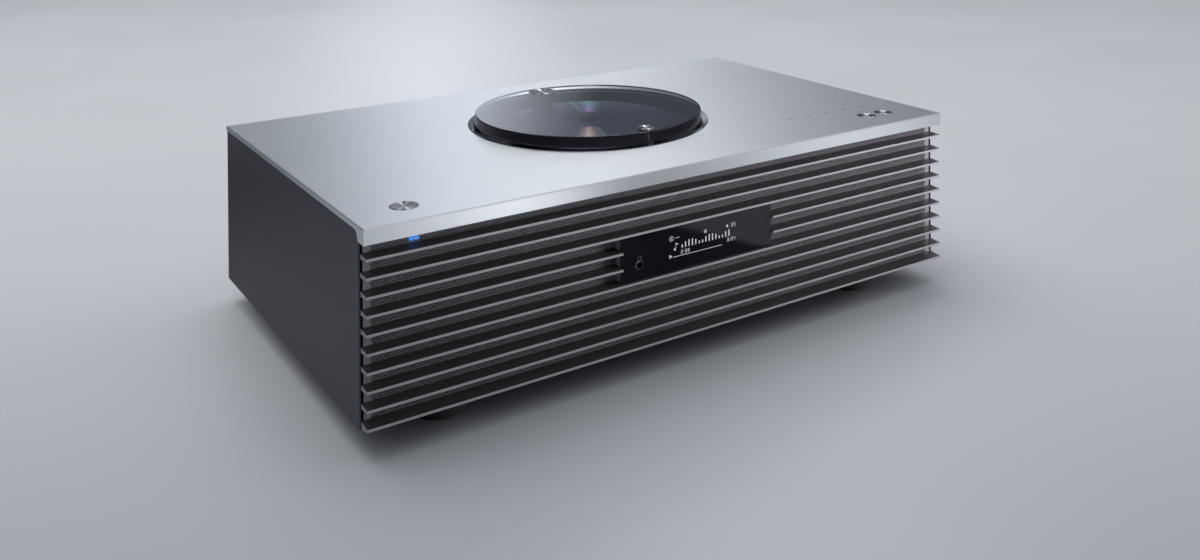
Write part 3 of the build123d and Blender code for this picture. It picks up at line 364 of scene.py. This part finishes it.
def rubber():
    """Matt black rubber."""
    look = Look("rubber")
    grain = look.noise((1.2, 1.2, 1.2), 3.0)
    look.shade(
        base=look.tint((0.018, 0.018, 0.019), 0.25, (0.1, 0.1, 0.1)),
        roughness=look.levels(grain, 0.7, 0.85),
        normal=look.bump(grain, 0.03),
        specular=0.3,
    )
    return look.material


def cone_paper():
    """Pressed paper pulp, with fibres."""
    look = Look("cone_paper")
    fibres = look.noise((0.8, 0.8, 0.8), 6.0, 0.75)
    look.shade(
        base=look.tint((0.035, 0.034, 0.034), 0.35, (0.8, 0.8, 0.8), 6.0),
        roughness=look.levels(fibres, 0.75, 0.95),
        normal=look.bump(fibres, 0.08),
    )
    return look.material


def circuit_board():
    """Green solder mask with copper tracks under it, and bare pads."""
    look = Look("circuit_board")
    cells = look.add("TexVoronoi", {"Vector": look.place, "Scale": 0.35}, distance="MANHATTAN")
    tracks = look.levels(cells.outputs["Distance"], 0.0, 1.0, 0.48, 0.52)
    mask = look.blend(tracks, (0.010, 0.055, 0.022, 1), (0.020, 0.105, 0.040, 1))
    pads = look.levels(cells.outputs["Distance"], 1.0, 0.0, 0.06, 0.08)
    look.shade(
        base=look.blend(pads, mask, (0.62, 0.60, 0.54, 1)),
        metallic=pads,
        roughness=look.levels(look.noise((0.5, 0.5, 0.5)), 0.25, 0.4),
        normal=look.bump(tracks, 0.04),
        coat=0.2,
    )
    return look.material


def ribbon():
    """A flat cable: white film with a row of conductors showing through."""
    look = Look("ribbon")
    stripes = look.add("TexWave", {"Vector": look.place, "Scale": 0.32}, bands_direction="Z")
    wires = look.levels(stripes.outputs["Fac"], 0.0, 1.0, 0.45, 0.6)
    look.shade(
        base=look.blend(wires, (0.72, 0.72, 0.70, 1), (0.42, 0.38, 0.33, 1)),
        roughness=0.35,
        normal=look.bump(wires, 0.03),
    )
    return look.material


def lens_glass():
    """The pickup's lens, with a faint blue coating."""
    look = Look("lens_glass")
    haze = look.noise((0.5, 0.5, 0.5))
    look.shade(
        base=look.tint((0.55, 0.62, 0.80), 0.05, (0.5, 0.5, 0.5)),
        roughness=look.levels(haze, 0.01, 0.05),
        ior=1.5,
        transmission=0.85,
        coat=0.6,
    )
    return look.material


def status_glow():
    """The light guide behind the mesh, lit in a low band so that two rows of holes shine."""
    look = Look("status_glow")
    low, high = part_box("status_light")
    lit_x = look.between(look.axis(look.place, "X"), low.x / MM + 2.2, high.x / MM - 1.2, 0.15)
    lit_z = look.between(look.axis(look.place, "Z"), low.z / MM + 1.3, high.z / MM - 1.9, 0.12)
    lit = look.math("MULTIPLY", lit_x, lit_z)
    look.shade(
        base=look.tint((0.05, 0.05, 0.06), 0.1, (0.5, 0.5, 0.5)),
        roughness=0.5,
        glow=(0.035, 0.30, 1.0, 1),
        glow_strength=look.math("MULTIPLY", lit, 2.2),
    )
    return look.material


def disc_surface():
    """A mirrored disc with painted light: a glowing fan of colours along the line towards the viewer,
    standing in for light split by its grooves, and a thin glowing line.
    """
    look = Look("disc_surface")
    outward = look.away_from(0, 0)
    radius = look.vector_math("LENGTH", outward)
    data_area = look.between(radius, DATA_START, DATA_END, 0.15)
    outward_world = look.world_tangent(outward)
    along_groove = look.vector_math("CROSS_PRODUCT", outward_world, (0.0, 0.0, 1.0))
    to_viewer = look.vector_math("NORMALIZE", towards_viewer(look))
    across = look.vector_math("DOT_PRODUCT", along_groove, to_viewer)
    towards = look.vector_math("DOT_PRODUCT", outward_world, to_viewer)
    # painted reflection: a fan of colours glows in the sector that faces the viewer
    painted_fan_sector = look.levels(look.math("ABSOLUTE", across), 1.0, 0.0, 0.0, 0.30)
    painted_fan_sector = look.math("POWER", painted_fan_sector, 2.2)
    place_in_fan = look.math("MULTIPLY", look.math("SIGN", towards), radius)
    painted_fan_hue = look.ramp(
        look.levels(place_in_fan, 0.0, 1.0, -DISC_RADIUS, DISC_RADIUS),
        (
            (0.02, (0.16, 0.55, 0.50, 1)),
            (0.14, (0.30, 0.42, 0.62, 1)),
            (0.26, (0.62, 0.30, 0.72, 1)),
            (0.44, (0.60, 0.28, 0.50, 1)),
            (0.56, (0.72, 0.36, 0.46, 1)),
            (0.76, (0.95, 0.62, 0.45, 1)),
            (0.95, (0.98, 0.92, 0.62, 1)),
        ),
    )
    # painted reflection: a thin line of colour glows along one fixed direction
    strip = look.vector_math("DOT_PRODUCT", along_groove, PAINTED_LINE_SIDE)
    strip = look.levels(look.math("ABSOLUTE", strip), 1.0, 0.0, 0.0, 0.035)
    painted_fan_share = look.math("MULTIPLY", look.math("MULTIPLY", painted_fan_sector, data_area), 0.9)
    painted_line_share = look.math("MULTIPLY", look.math("MULTIPLY", strip, data_area), 0.5)
    painted_fan = look.vector_math("SCALE", painted_fan_hue, scale=painted_fan_share)
    line = look.vector_math("SCALE", (0.20, 0.62, 0.50), scale=painted_line_share)
    look.shade(
        base=look.ramp(
            look.levels(radius, 0.0, 1.0, 0.0, DISC_RADIUS),
            (
                (0.18, (0.30, 0.31, 0.36, 1)),
                (0.37, (0.26, 0.27, 0.33, 1)),
                (0.40, (0.34, 0.36, 0.43, 1)),
                (0.96, (0.32, 0.34, 0.42, 1)),
                (0.98, (0.50, 0.52, 0.58, 1)),
            ),
        ),
        metallic=0.9,
        roughness=0.22,
        anisotropic=0.8,
        tangent=outward_world,
        # the painted fan and line glow on the disc
        glow=look.blend(1.0, painted_fan, line, "ADD"),
        glow_strength=1.0,
    )
    return look.material


def lit_sign():
    """A sign lit from behind the display's window."""
    look = Look("lit_sign")
    look.shade(
        base=look.tint((0.35, 0.36, 0.37), 0.05, (3.0, 3.0, 3.0)),
        glow=(0.86, 0.93, 1.0, 1),
        glow_strength=look.levels(look.noise((2.0, 2.0, 2.0)), 0.15, 0.20),
    )
    return look.material


def printed_sign(name, colour):
    """Ink, dull and a little metallic."""
    look = Look(name)
    look.shade(
        base=look.tint(colour, 0.1, (3.0, 3.0, 3.0)),
        roughness=look.levels(look.noise((2.0, 2.0, 2.0)), 0.45, 0.6),
        metallic=0.2,
    )
    return look.material


def middle_of(name):
    """The middle of a node's box."""
    low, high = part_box(name)
    return (low + high) / 2


slot_looks = {
    "top_metal": brushed_top(),
    "side_metal": satin_panel(),
    "fin_metal": fin_finish(),
    "mesh_metal": sheet_finish(),
    "smoked_acrylic": smoked_acrylic(),
    "display_glass": gloss_black(),
    "black_plastic": moulded("black_plastic", (0.022, 0.022, 0.024)),
    "grey_plastic": moulded("grey_plastic", (0.30, 0.30, 0.29)),
    "disc_surface": disc_surface(),
    "bright_steel": metal("bright_steel", (0.66, 0.66, 0.65), 0.22, 0.38),
    "dark_steel": metal("dark_steel", (0.16, 0.16, 0.17), 0.35, 0.5),
    "brass": metal("brass", (0.72, 0.56, 0.28), 0.22, 0.35),
    "rubber": rubber(),
    "circuit_board": circuit_board(),
    "cone_paper": cone_paper(),
    "white_plastic": status_glow(),
    "lens_glass": lens_glass(),
    "heat_sink_metal": metal("heat_sink_metal", (0.05, 0.05, 0.055), 0.45, 0.6),
    "ribbon": ribbon(),
}
own_looks = {
    "tweeters": metal("tweeter_metal", (0.10, 0.10, 0.11), 0.35, 0.5),
    "woofer_frames": metal("basket_metal", (0.045, 0.045, 0.05), 0.4, 0.55),
    "corner_posts": metal("post_metal", (0.05, 0.05, 0.055), 0.45, 0.6),
    "display_housing": moulded("housing_grey", (0.48, 0.48, 0.51)),
    "headphone_jack": metal("jack_metal", (0.20, 0.20, 0.21), 0.14, 0.24),
}
for spun_node in (
    "power_button",
    "volume_down_button",
    "volume_up_button",
    "lid_pivot_pin",
    "lid_finger_knob",
):
    own_looks[spun_node] = spun_metal_painted_glint("spun_" + spun_node, middle_of(spun_node))


def slot_of(cad_node):
    """The record's material slot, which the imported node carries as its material's name."""
    return cad_node.data.materials[0].name.split(".")[0]


def finish_cad_nodes():
    """Gives each CAD node its look, chosen by its own name or else by its slot."""
    for name, cad_node in nodes.items():
        slot = slot_of(cad_node)
        look = own_looks.get(name) or slot_looks[slot]
        cad_node.data.materials.clear()
        cad_node.data.materials.append(look)


finish_cad_nodes()


# ---------------------------------------------------------------- pieces built here


# corners of a box's six sides, for corners numbered with z changing fastest and x slowest
BLOCK_SIDES = ((0, 1, 3, 2), (4, 6, 7, 5), (0, 4, 5, 1), (2, 3, 7, 6), (0, 2, 6, 4), (1, 5, 7, 3))


class Shape:
    """Vertices and faces collected for one mesh, in metres."""

    def __init__(self):
        self.verts = []
        self.faces = []

    def face(self, points):
        start = len(self.verts)
        self.verts.extend(points)
        self.faces.append(tuple(range(start, start + len(points))))

    def block(self, low, high):
        """Adds a box between two corners."""
        corners = [
            (x, y, z) for x in (low[0], high[0]) for y in (low[1], high[1]) for z in (low[2], high[2])
        ]
        for side in BLOCK_SIDES:
            self.face([corners[i] for i in side])

    def build(self, name, material):
        """Makes the mesh's object, which rides on the case."""
        mesh = bpy.data.meshes.new(name)
        mesh.from_pydata(self.verts, [], self.faces)
        mesh.update()
        piece = bpy.data.objects.new(name, mesh)
        bpy.context.scene.collection.objects.link(piece)
        mesh.materials.append(material)
        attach(piece, "case")
        return piece


# the perforated sheet: hole pitch and radius, plain borders, and the margins beside the window
MESH_PITCH = 1.5 * MM
HOLE_RADIUS = 0.66 * MM
MESH_BORDER = 4.0 * MM
TOP_BORDER = 3.6 * MM
TOP_AND_BOTTOM_BORDERS = 4.8 * MM
WINDOW_MARGIN = 0.9 * MM


def mesh_cells(low, high, window_low, window_high):
    """The middles of the staggered cells: those with a hole, and the solid ones that end a row."""
    columns = int((high.x - MESH_BORDER - HOLE_RADIUS) / MESH_PITCH)
    row_step = MESH_PITCH * math.sqrt(3) / 2
    row_count = int((high.z - low.z - TOP_AND_BOTTOM_BORDERS) / row_step)
    pierced = []
    solid = []
    for row in range(row_count):
        z = high.z - TOP_BORDER - row * row_step
        beside_window = window_low.z - WINDOW_MARGIN < z < window_high.z + WINDOW_MARGIN
        odd = row % 2
        for index in range(-columns - odd, columns + 1):
            x = (index + odd / 2) * MESH_PITCH
            if beside_window and abs(x) < window_high.x + 0.3 * MESH_PITCH:
                continue
            ends_row = abs(x) > (columns + 0.1) * MESH_PITCH
            meets_window = beside_window and abs(x) < window_high.x + 0.6 * MESH_PITCH
            cells = solid if ends_row or meets_window else pierced
            cells.append((x, z))
    return np.array(pierced), np.array(solid)


def perforated_sheet():
    """The sheet with six-sided holes on a staggered grid, a plain border and the display's cut-out.

    Each pierced cell has three rings of six corners: the cell's outline, and the hole at the front
    and at the back. Four-sided faces join them into the front and the hole's wall.
    """
    low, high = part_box("speaker_mesh")
    window_low, window_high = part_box("display_window")
    pierced, solid = mesh_cells(low, high, window_low, window_high)
    angles = np.radians(30 + 60 * np.arange(6))
    ring = np.stack([np.cos(angles), np.sin(angles)], axis=1)
    outer = ring * MESH_PITCH / math.sqrt(3)
    inner = ring * HOLE_RADIUS
    corners = pierced[:, None, :] + np.concatenate([outer, inner, inner])
    flat = corners.reshape(-1, 2)
    depths = np.tile(np.repeat([low.y, low.y, high.y], 6), len(pierced))
    step = np.arange(6)
    after = (step + 1) % 6
    front = np.stack([step, after, after + 6, step + 6], axis=1)
    wall = np.stack([step + 6, after + 6, after + 12, step + 12], axis=1)
    starts = np.arange(len(pierced))[:, None, None] * 18
    shape = Shape()
    shape.verts = np.stack([flat[:, 0], depths, flat[:, 1]], axis=1).tolist()
    shape.faces = (starts + np.concatenate([front, wall])).reshape(-1, 4).tolist()
    for x, z in solid:
        shape.face([(x + a, low.y, z + b) for a, b in outer])
    behind = low.y + 0.01 * MM
    reach = pierced[:, 0].max() + MESH_PITCH / 2
    rows_low = pierced[:, 1].min() - HOLE_RADIUS
    rows_high = pierced[:, 1].max() + HOLE_RADIUS
    shape.block((low.x, behind, low.z), (-reach, high.y, high.z))
    shape.block((reach, behind, low.z), (high.x, high.y, high.z))
    shape.block((low.x, behind, low.z), (high.x, high.y, rows_low))
    shape.block((low.x, behind, rows_high), (high.x, high.y, high.z))
    for side in (window_low.x, window_high.x):
        strip = sorted((side, side * (1 + 0.5 * MESH_PITCH / window_high.x)))
        shape.block((strip[0], behind, window_low.z - MM), (strip[1], high.y, window_high.z + MM))
    sheet = shape.build("perforated_sheet", slot_looks["mesh_metal"])
    return sheet


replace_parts(perforated_sheet(), "speaker_mesh")


# how far signs stand off their surface, and the chords in a round sign
SIGN_LIFT = 0.02 * MM
ROUND_STEPS = 16

# a digit's seven strokes on a grid one unit wide and two high, and the strokes of each digit in use
DIGIT_STROKES = {
    "A": ((0, 2), (1, 2)),
    "B": ((1, 1), (1, 2)),
    "C": ((1, 0), (1, 1)),
    "D": ((0, 0), (1, 0)),
    "E": ((0, 0), (0, 1)),
    "F": ((0, 1), (0, 2)),
    "G": ((0, 1), (1, 1)),
}
DIGITS = {1: "BC", 2: "ABDEG", 3: "ABCDG", 5: "ACDFG", 8: "ABCDEFG"}


class Signs:
    """Flat strokes on a plane. Its axes are given as directions, and sizes are in millimetres."""

    def __init__(self, origin, across, up, facing):
        self.shape = Shape()
        self.origin = Vector(origin)
        self.across = Vector(across)
        self.up = Vector(up)
        self.lift = Vector(facing) * SIGN_LIFT

    def point(self, a, b):
        return self.origin + self.lift + (self.across * a + self.up * b) * MM

    def polygon(self, points):
        self.shape.face([self.point(a, b) for a, b in points])

    def stroke(self, start, end, width):
        run = Vector((end[0] - start[0], end[1] - start[1]))
        side = Vector((-run.y, run.x)).normalized() * width / 2
        corners = [
            (start[0] + side.x, start[1] + side.y),
            (start[0] - side.x, start[1] - side.y),
            (end[0] - side.x, end[1] - side.y),
            (end[0] + side.x, end[1] + side.y),
        ]
        self.polygon(corners)

    def ring(self, centre, radius, start, end):
        """Points round a centre from one angle to another, in degrees."""
        angles = [math.radians(start + (end - start) * i / ROUND_STEPS) for i in range(ROUND_STEPS + 1)]
        return [(centre[0] + radius * math.cos(t), centre[1] + radius * math.sin(t)) for t in angles]

    def arc(self, centre, radius, start, end, width):
        points = self.ring(centre, radius, start, end)
        for first, second in zip(points, points[1:]):
            self.stroke(first, second, width)

    def dot(self, centre, radius):
        self.polygon(self.ring(centre, radius, 0, 360)[:-1])

    def triangle(self, a, b, size, turn=1):
        """A play triangle that points along +a, or along -a with turn -1."""
        self.polygon([(a, b - size / 2), (a, b + size / 2), (a + turn * size * 0.85, b)])

    def digit(self, number, a, b, height, width):
        """A digit drawn with up to seven strokes, its lower left corner at (a, b)."""
        unit = height / 2
        for key in DIGITS[number]:
            start, end = DIGIT_STROKES[key]
            self.stroke(
                (a + start[0] * unit, b + start[1] * unit), (a + end[0] * unit, b + end[1] * unit), width
            )


def display_signs():
    """Generic playback signs on the window, placed from the casing's middle and its top."""
    window_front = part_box("display_window")[0].y
    signs = Signs((0, window_front, top_z), (1, 0, 0), (0, 0, 1), (0, -1, 0))
    line = 0.34

    # the upper row: disc, dash, star, loudspeaker and volume
    signs.arc((-22.5, -46.0), 1.5, 0, 360, line)
    signs.dot((-22.5, -46.0), 0.5)
    signs.stroke((-19.6, -46.0), (-16.4, -46.0), line)
    for turn in range(5):
        angle = math.radians(90 + 72 * turn)
        signs.stroke((4.4, -46.4), (4.4 + 1.3 * math.cos(angle), -46.4 + 1.3 * math.sin(angle)), 0.55)
    signs.triangle(23.0, -46.4, 2.4, -1)
    signs.digit(3, 25.6, -47.5, 2.3, line)
    signs.digit(5, 28.0, -47.5, 2.3, line)

    # the middle row: note and level bars
    row_foot = -53.2
    signs.stroke((-19.2, row_foot), (-19.2, -49.2), line)
    signs.stroke((-19.2, -49.4), (-17.4, -50.4), 0.7)
    signs.dot((-19.9, row_foot), 0.85)
    bars = 15
    for bar in range(bars):
        height = 1.0 + 3.4 * abs(math.sin(bar * 0.52 + 0.3))
        a = -14.2 + 38.0 * bar / (bars - 1)
        signs.stroke((a, row_foot), (a, row_foot + height), 0.95)

    # the lower row: play, time played, progress bar and time left
    signs.triangle(-24.2, -57.2, 2.7)
    for number, a in ((2, -15.0), (3, -11.9), (8, -9.7)):
        signs.digit(number, a, -56.9, 2.2, line)
    signs.dot((-12.75, -56.4), 0.22)
    signs.dot((-12.75, -55.4), 0.22)
    signs.stroke((-21.4, -57.9), (18.0, -57.9), 0.36)
    signs.digit(3, 22.2, -56.6, 2.2, line)
    signs.stroke((24.3, -56.8), (25.3, -54.2), line * 0.8)
    signs.digit(2, 26.0, -56.6, 2.2, line)
    signs.digit(1, 27.6, -56.6, 2.2, line)
    signs.shape.build("display_signs", lit_sign())


def headphone_sign():
    """A small printed sign over the socket: an arch with an ear piece at each end."""
    window_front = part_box("display_window")[0].y
    jack = middle_of("headphone_jack")
    signs = Signs((jack.x, window_front, jack.z), (1, 0, 0), (0, 0, 1), (0, -1, 0))
    signs.arc((0, 5.4), 1.1, 0, 180, 0.22)
    signs.stroke((-1.1, 5.5), (-1.1, 4.5), 0.45)
    signs.stroke((1.1, 5.5), (1.1, 4.5), 0.45)
    signs.shape.build("headphone_sign", printed_sign("grey_print", (0.10, 0.10, 0.11)))


def touch_signs():
    """Six small generic signs over the touch pads: input, back, play, forward, stop and eject."""
    low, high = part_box("touch_pads")
    pad_radius = (high.y - low.y) / 2
    first = low.x + pad_radius
    step = (high.x - low.x - 2 * pad_radius) / 5
    source, back, play, forward, stop, eject = [(first + step * i) / MM for i in range(6)]
    signs = Signs((0, (low.y + high.y) / 2, top_z), (1, 0, 0), (0, 1, 0), (0, 0, 1))
    line = 0.45
    signs.stroke((source - 1.6, 0), (source + 1.6, 0), line)
    signs.triangle(source + 0.4, 0, 1.8)
    signs.triangle(back - 0.4, 0, 1.8, -1)
    signs.triangle(back + 1.8, 0, 1.8, -1)
    signs.stroke((back - 2.4, -0.9), (back - 2.4, 0.9), line)
    signs.triangle(play - 1.6, 0, 2.0)
    signs.stroke((play + 0.9, -1), (play + 0.9, 1), line)
    signs.stroke((play + 1.8, -1), (play + 1.8, 1), line)
    signs.triangle(forward - 1.8, 0, 1.8)
    signs.triangle(forward + 0.4, 0, 1.8)
    signs.stroke((forward + 2.4, -0.9), (forward + 2.4, 0.9), line)
    signs.polygon([(stop + a, b) for a, b in ((-1, -1), (1, -1), (1, 1), (-1, 1))])
    signs.stroke((eject - 1.5, -1.0), (eject + 1.5, -1.0), line)
    signs.polygon([(eject - 1.4, -0.4), (eject + 1.4, -0.4), (eject, 1.1)])
    signs.shape.build("touch_signs", printed_sign("dark_print", (0.06, 0.065, 0.07)))


display_signs()
headphone_sign()
touch_signs()


# ---------------------------------------------------------------- stage

# horizontal direction that the camera looks in, along which the floor's painted shade changes
VIEW_ALONG_FLOOR = (0.568, 0.823, 0.0)
CARD_HEIGHT = 2 * MM
FAR = 6.0


def flat_card(name, centre, size, rotation, material):
    """A rectangle of the stage, size in metres."""
    half_a, half_b = size[0] / 2, size[1] / 2
    mesh = bpy.data.meshes.new(name)
    mesh.from_pydata(
        [(-half_a, -half_b, 0), (half_a, -half_b, 0), (half_a, half_b, 0), (-half_a, half_b, 0)],
        [],
        [(0, 1, 2, 3)],
    )
    card = bpy.data.objects.new(name, mesh)
    card.location = centre
    card.rotation_euler = rotation
    mesh.materials.append(material)
    bpy.context.scene.collection.objects.link(card)
    return card


def seen_only_in_reflections(card):
    """Hides a card from everything but mirrored rays."""
    card.visible_camera = False
    card.visible_diffuse = False
    card.visible_shadow = False
    card.visible_transmission = False
    card.visible_volume_scatter = False


def pale_floor_painted_shade():
    """A plain pale floor with painted shade: darker near the camera and lighter away from it."""
    look = Look("pale_floor_painted_shade")
    depth = look.vector_math("DOT_PRODUCT", look.place, VIEW_ALONG_FLOOR)
    # painted shade: the floor's colour darkens towards the camera
    colour = look.ramp(
        look.levels(depth, 0.0, 1.0, -450.0, 1050.0),
        (
            (0.00, (0.40, 0.415, 0.44, 1)),
            (0.17, (0.57, 0.585, 0.61, 1)),
            (0.34, (0.72, 0.73, 0.75, 1)),
            (0.60, (0.83, 0.84, 0.855, 1)),
            (1.00, (0.90, 0.905, 0.92, 1)),
        ),
    )
    look.shade(base=colour, roughness=look.levels(look.noise((0.004, 0.004, 0.004)), 0.28, 0.34))
    return look.material


def floor_card(name, centre, size, turn, tone, soft):
    """A strip just over the floor, seen only in reflections from above.

    Its two edges across its own X axis fade over soft metres. Turn is in degrees.
    """
    look = Look(name)
    look.tree.nodes.remove(look.shader)
    x = look.math("ABSOLUTE", look.axis(look.place, "X"))
    half = size[0] / 2
    share = look.levels(x, 1.0, 0.0, (half - soft) / MM, half / MM)
    from_above = look.math("SUBTRACT", 1.0, look.add("NewGeometry").outputs["Backfacing"])
    share = look.math("MULTIPLY", share, from_above)
    light = look.add("Emission", {"Color": tone + (1,), "Strength": 1.0})
    clear = look.add("BsdfTransparent")
    mixed = look.add("MixShader", {0: share, 1: clear.outputs[0], 2: light.outputs[0]})
    look.feed(look.surface, mixed.outputs[0])
    rotation = (0, 0, math.radians(turn))
    seen_only_in_reflections(flat_card(name, centre + (CARD_HEIGHT,), size, rotation, look.material))


flat_card("floor", (0, 0, 0), (30, 30), (0, 0, 0), pale_floor_painted_shade())
floor_card("floor_dark", (0.048, -0.274), (0.22, 0.16), -19, (0.012, 0.012, 0.014), 0.012)
floor_card("floor_shade", (-0.33, 0.47), (0.86, 0.40), 90, (0.05, 0.053, 0.06), 0.40)
floor_card("floor_streak_left", (0.065, -0.80), (0.17, 0.76), 0, (6.6, 6.7, 6.8), 0.08)
floor_card("floor_streak_right", (0.50, -0.80), (0.32, 0.76), 0, (3.9, 3.95, 4.0), 0.14)


def area_light(name, location, target, size, power, colour):
    """A soft rectangular light that points at a target."""
    data = bpy.data.lights.new(name, "AREA")
    data.shape = "RECTANGLE"
    data.size, data.size_y = size
    data.energy = power
    data.color = colour
    light = bpy.data.objects.new(name, data)
    light.location = location
    aim = Vector(target) - Vector(location)
    light.rotation_euler = aim.to_track_quat("-Z", "Y").to_euler()
    bpy.context.scene.collection.objects.link(light)
    return light


def glowing_card(name, azimuth, elevation, spread, strength, colour=(0.97, 0.99, 1.0)):
    """A far soft light seen only in reflections. Angles in degrees: azimuth from +Y towards +X."""
    a, e = math.radians(azimuth), math.radians(elevation)
    centre = Vector((math.sin(a) * math.cos(e), math.cos(a) * math.cos(e), math.sin(e))) * FAR
    size = [2 * FAR * math.tan(math.radians(s)) for s in spread]
    look = Look(name)
    look.tree.nodes.remove(look.shader)
    place = look.vector_math("MULTIPLY", look.place, (2 * MM / size[0], 2 * MM / size[1], 0))
    fall = look.levels(look.vector_math("LENGTH", place), 1.0, 0.0, 0.0, 1.0)
    fall = look.math("POWER", look.math("SMOOTH_MIN", fall, 1.0), 1.4)
    power = look.math("MULTIPLY", fall, strength)
    light = look.add("Emission", {"Color": colour + (1,), "Strength": power})
    clear = look.add("BsdfTransparent")
    both = look.add("AddShader", {0: light.outputs[0], 1: clear.outputs[0]})
    look.feed(look.surface, both.outputs[0])
    rotation = (-centre).to_track_quat("Z", "Y").to_euler()
    seen_only_in_reflections(flat_card(name, centre, size, rotation, look.material))


def top_light():
    """A large softbox overhead, which isn't mirrored in the top plate."""
    colour = (0.98, 0.99, 1.0)
    light = area_light("softbox_top", (-0.4, 0.6, 2.2), (0, 0, 0), (2.2, 1.8), 22, colour)
    light.visible_glossy = False


def front_light():
    """A soft light at the front right for the fins, kept off the floor, the top plate and the lid."""
    place, target = (0.76, -0.60, 0.35), (0.16, 0, 0.06)
    light = area_light("fill_front", place, target, (0.4, 0.4), 11, (1.0, 0.97, 1.0))
    lit_by_fill = bpy.data.collections.new("lit_by_fill")
    for piece in bpy.data.objects:
        if piece.type == "MESH" and piece.name not in ("floor", "top_plate", "cd_lid"):
            lit_by_fill.objects.link(piece)
    light.light_linking.receiver_collection = lit_by_fill


glowing_card("glow_back", 22.4, 14, (9.2, 10), 2.1, (0.86, 0.93, 1.04))
glowing_card("glow_high", 44, 46, (14, 13), 8.8)
top_light()
front_light()


def studio_world():
    """A soft grey-blue surround, lighter overhead."""
    world = bpy.data.worlds.new("studio")
    world.use_nodes = True
    tree = world.node_tree
    background = tree.nodes["Background"]
    place = tree.nodes.new("ShaderNodeTexCoord")
    split = tree.nodes.new("ShaderNodeSeparateXYZ")
    ramp = tree.nodes.new("ShaderNodeValToRGB")
    tree.links.new(place.outputs["Generated"], split.inputs[0])
    tree.links.new(split.outputs["Z"], ramp.inputs[0])
    ramp.color_ramp.elements[0].position = 0.28
    ramp.color_ramp.elements[0].color = (0.15, 0.165, 0.19, 1)
    ramp.color_ramp.elements[1].position = 0.72
    ramp.color_ramp.elements[1].color = (0.74, 0.77, 0.82, 1)
    tree.links.new(ramp.outputs["Color"], background.inputs["Color"])
    background.inputs["Strength"].default_value = 0.8
    bpy.context.scene.world = world


studio_world()


# ---------------------------------------------------------------- camera

IMAGE_WIDTH, IMAGE_HEIGHT = 1200, 560
SENSOR_WIDTH = 36.0

# place in metres, angles in degrees, and focal length and optical centre as shares of the image's width
CAMERA_PLACE = Vector((-0.44507, -0.73372, 0.33365))
CAMERA_YAW, CAMERA_PITCH, CAMERA_ROLL = -34.562, 0.373, -0.373
FOCAL_SHARE = 0.96342
CENTRE_SHARE_X, CENTRE_SHARE_Y = 0.54499, -0.12672


def shift_lens(camera, channel, amount):
    """Shifts the lens while the camera stands at its own height.

    A camera moved round the object for another view has another height, and isn't shifted, so
    that the object stays in the middle of the picture.
    """
    curve = camera.data.driver_add(channel)
    curve.driver.type = "SUM"
    height = curve.driver.variables.new()
    height.type = "TRANSFORMS"
    height.targets[0].id = camera
    height.targets[0].transform_type = "LOC_Z"
    while curve.modifiers:
        curve.modifiers.remove(curve.modifiers[0])
    profile = ((-1.0, 0), (-0.5, 1), (0.5, 1), (1.0, 0))
    curve.keyframe_points.add(len(profile))
    for key, (offset, share) in zip(curve.keyframe_points, profile):
        key.co = (CAMERA_PLACE.z + offset * MM, share * amount)
        key.interpolation = "LINEAR"


def main_camera():
    """A shift-lens camera that looks level, so that upright edges stay upright."""
    data = bpy.data.cameras.new("camera")
    camera = bpy.data.objects.new("camera", data)
    bpy.context.scene.collection.objects.link(camera)
    data.sensor_width = SENSOR_WIDTH
    data.lens = SENSOR_WIDTH * FOCAL_SHARE
    data.clip_start = 0.01
    data.clip_end = 50
    turn = (
        Matrix.Rotation(math.radians(CAMERA_YAW), 4, "Z")
        @ Matrix.Rotation(math.radians(90 - CAMERA_PITCH), 4, "X")
        @ Matrix.Rotation(math.radians(CAMERA_ROLL), 4, "Z")
    )
    camera.matrix_world = Matrix.Translation(CAMERA_PLACE) @ turn
    shift_lens(camera, "shift_x", 0.5 - CENTRE_SHARE_X)
    shift_lens(camera, "shift_y", CENTRE_SHARE_Y - 0.5 * IMAGE_HEIGHT / IMAGE_WIDTH)
    bpy.context.scene.camera = camera


main_camera()
bpy.context.scene.view_settings.view_transform = "Standard"


# ---------------------------------------------------------------- end

bpy.context.view_layer.update()
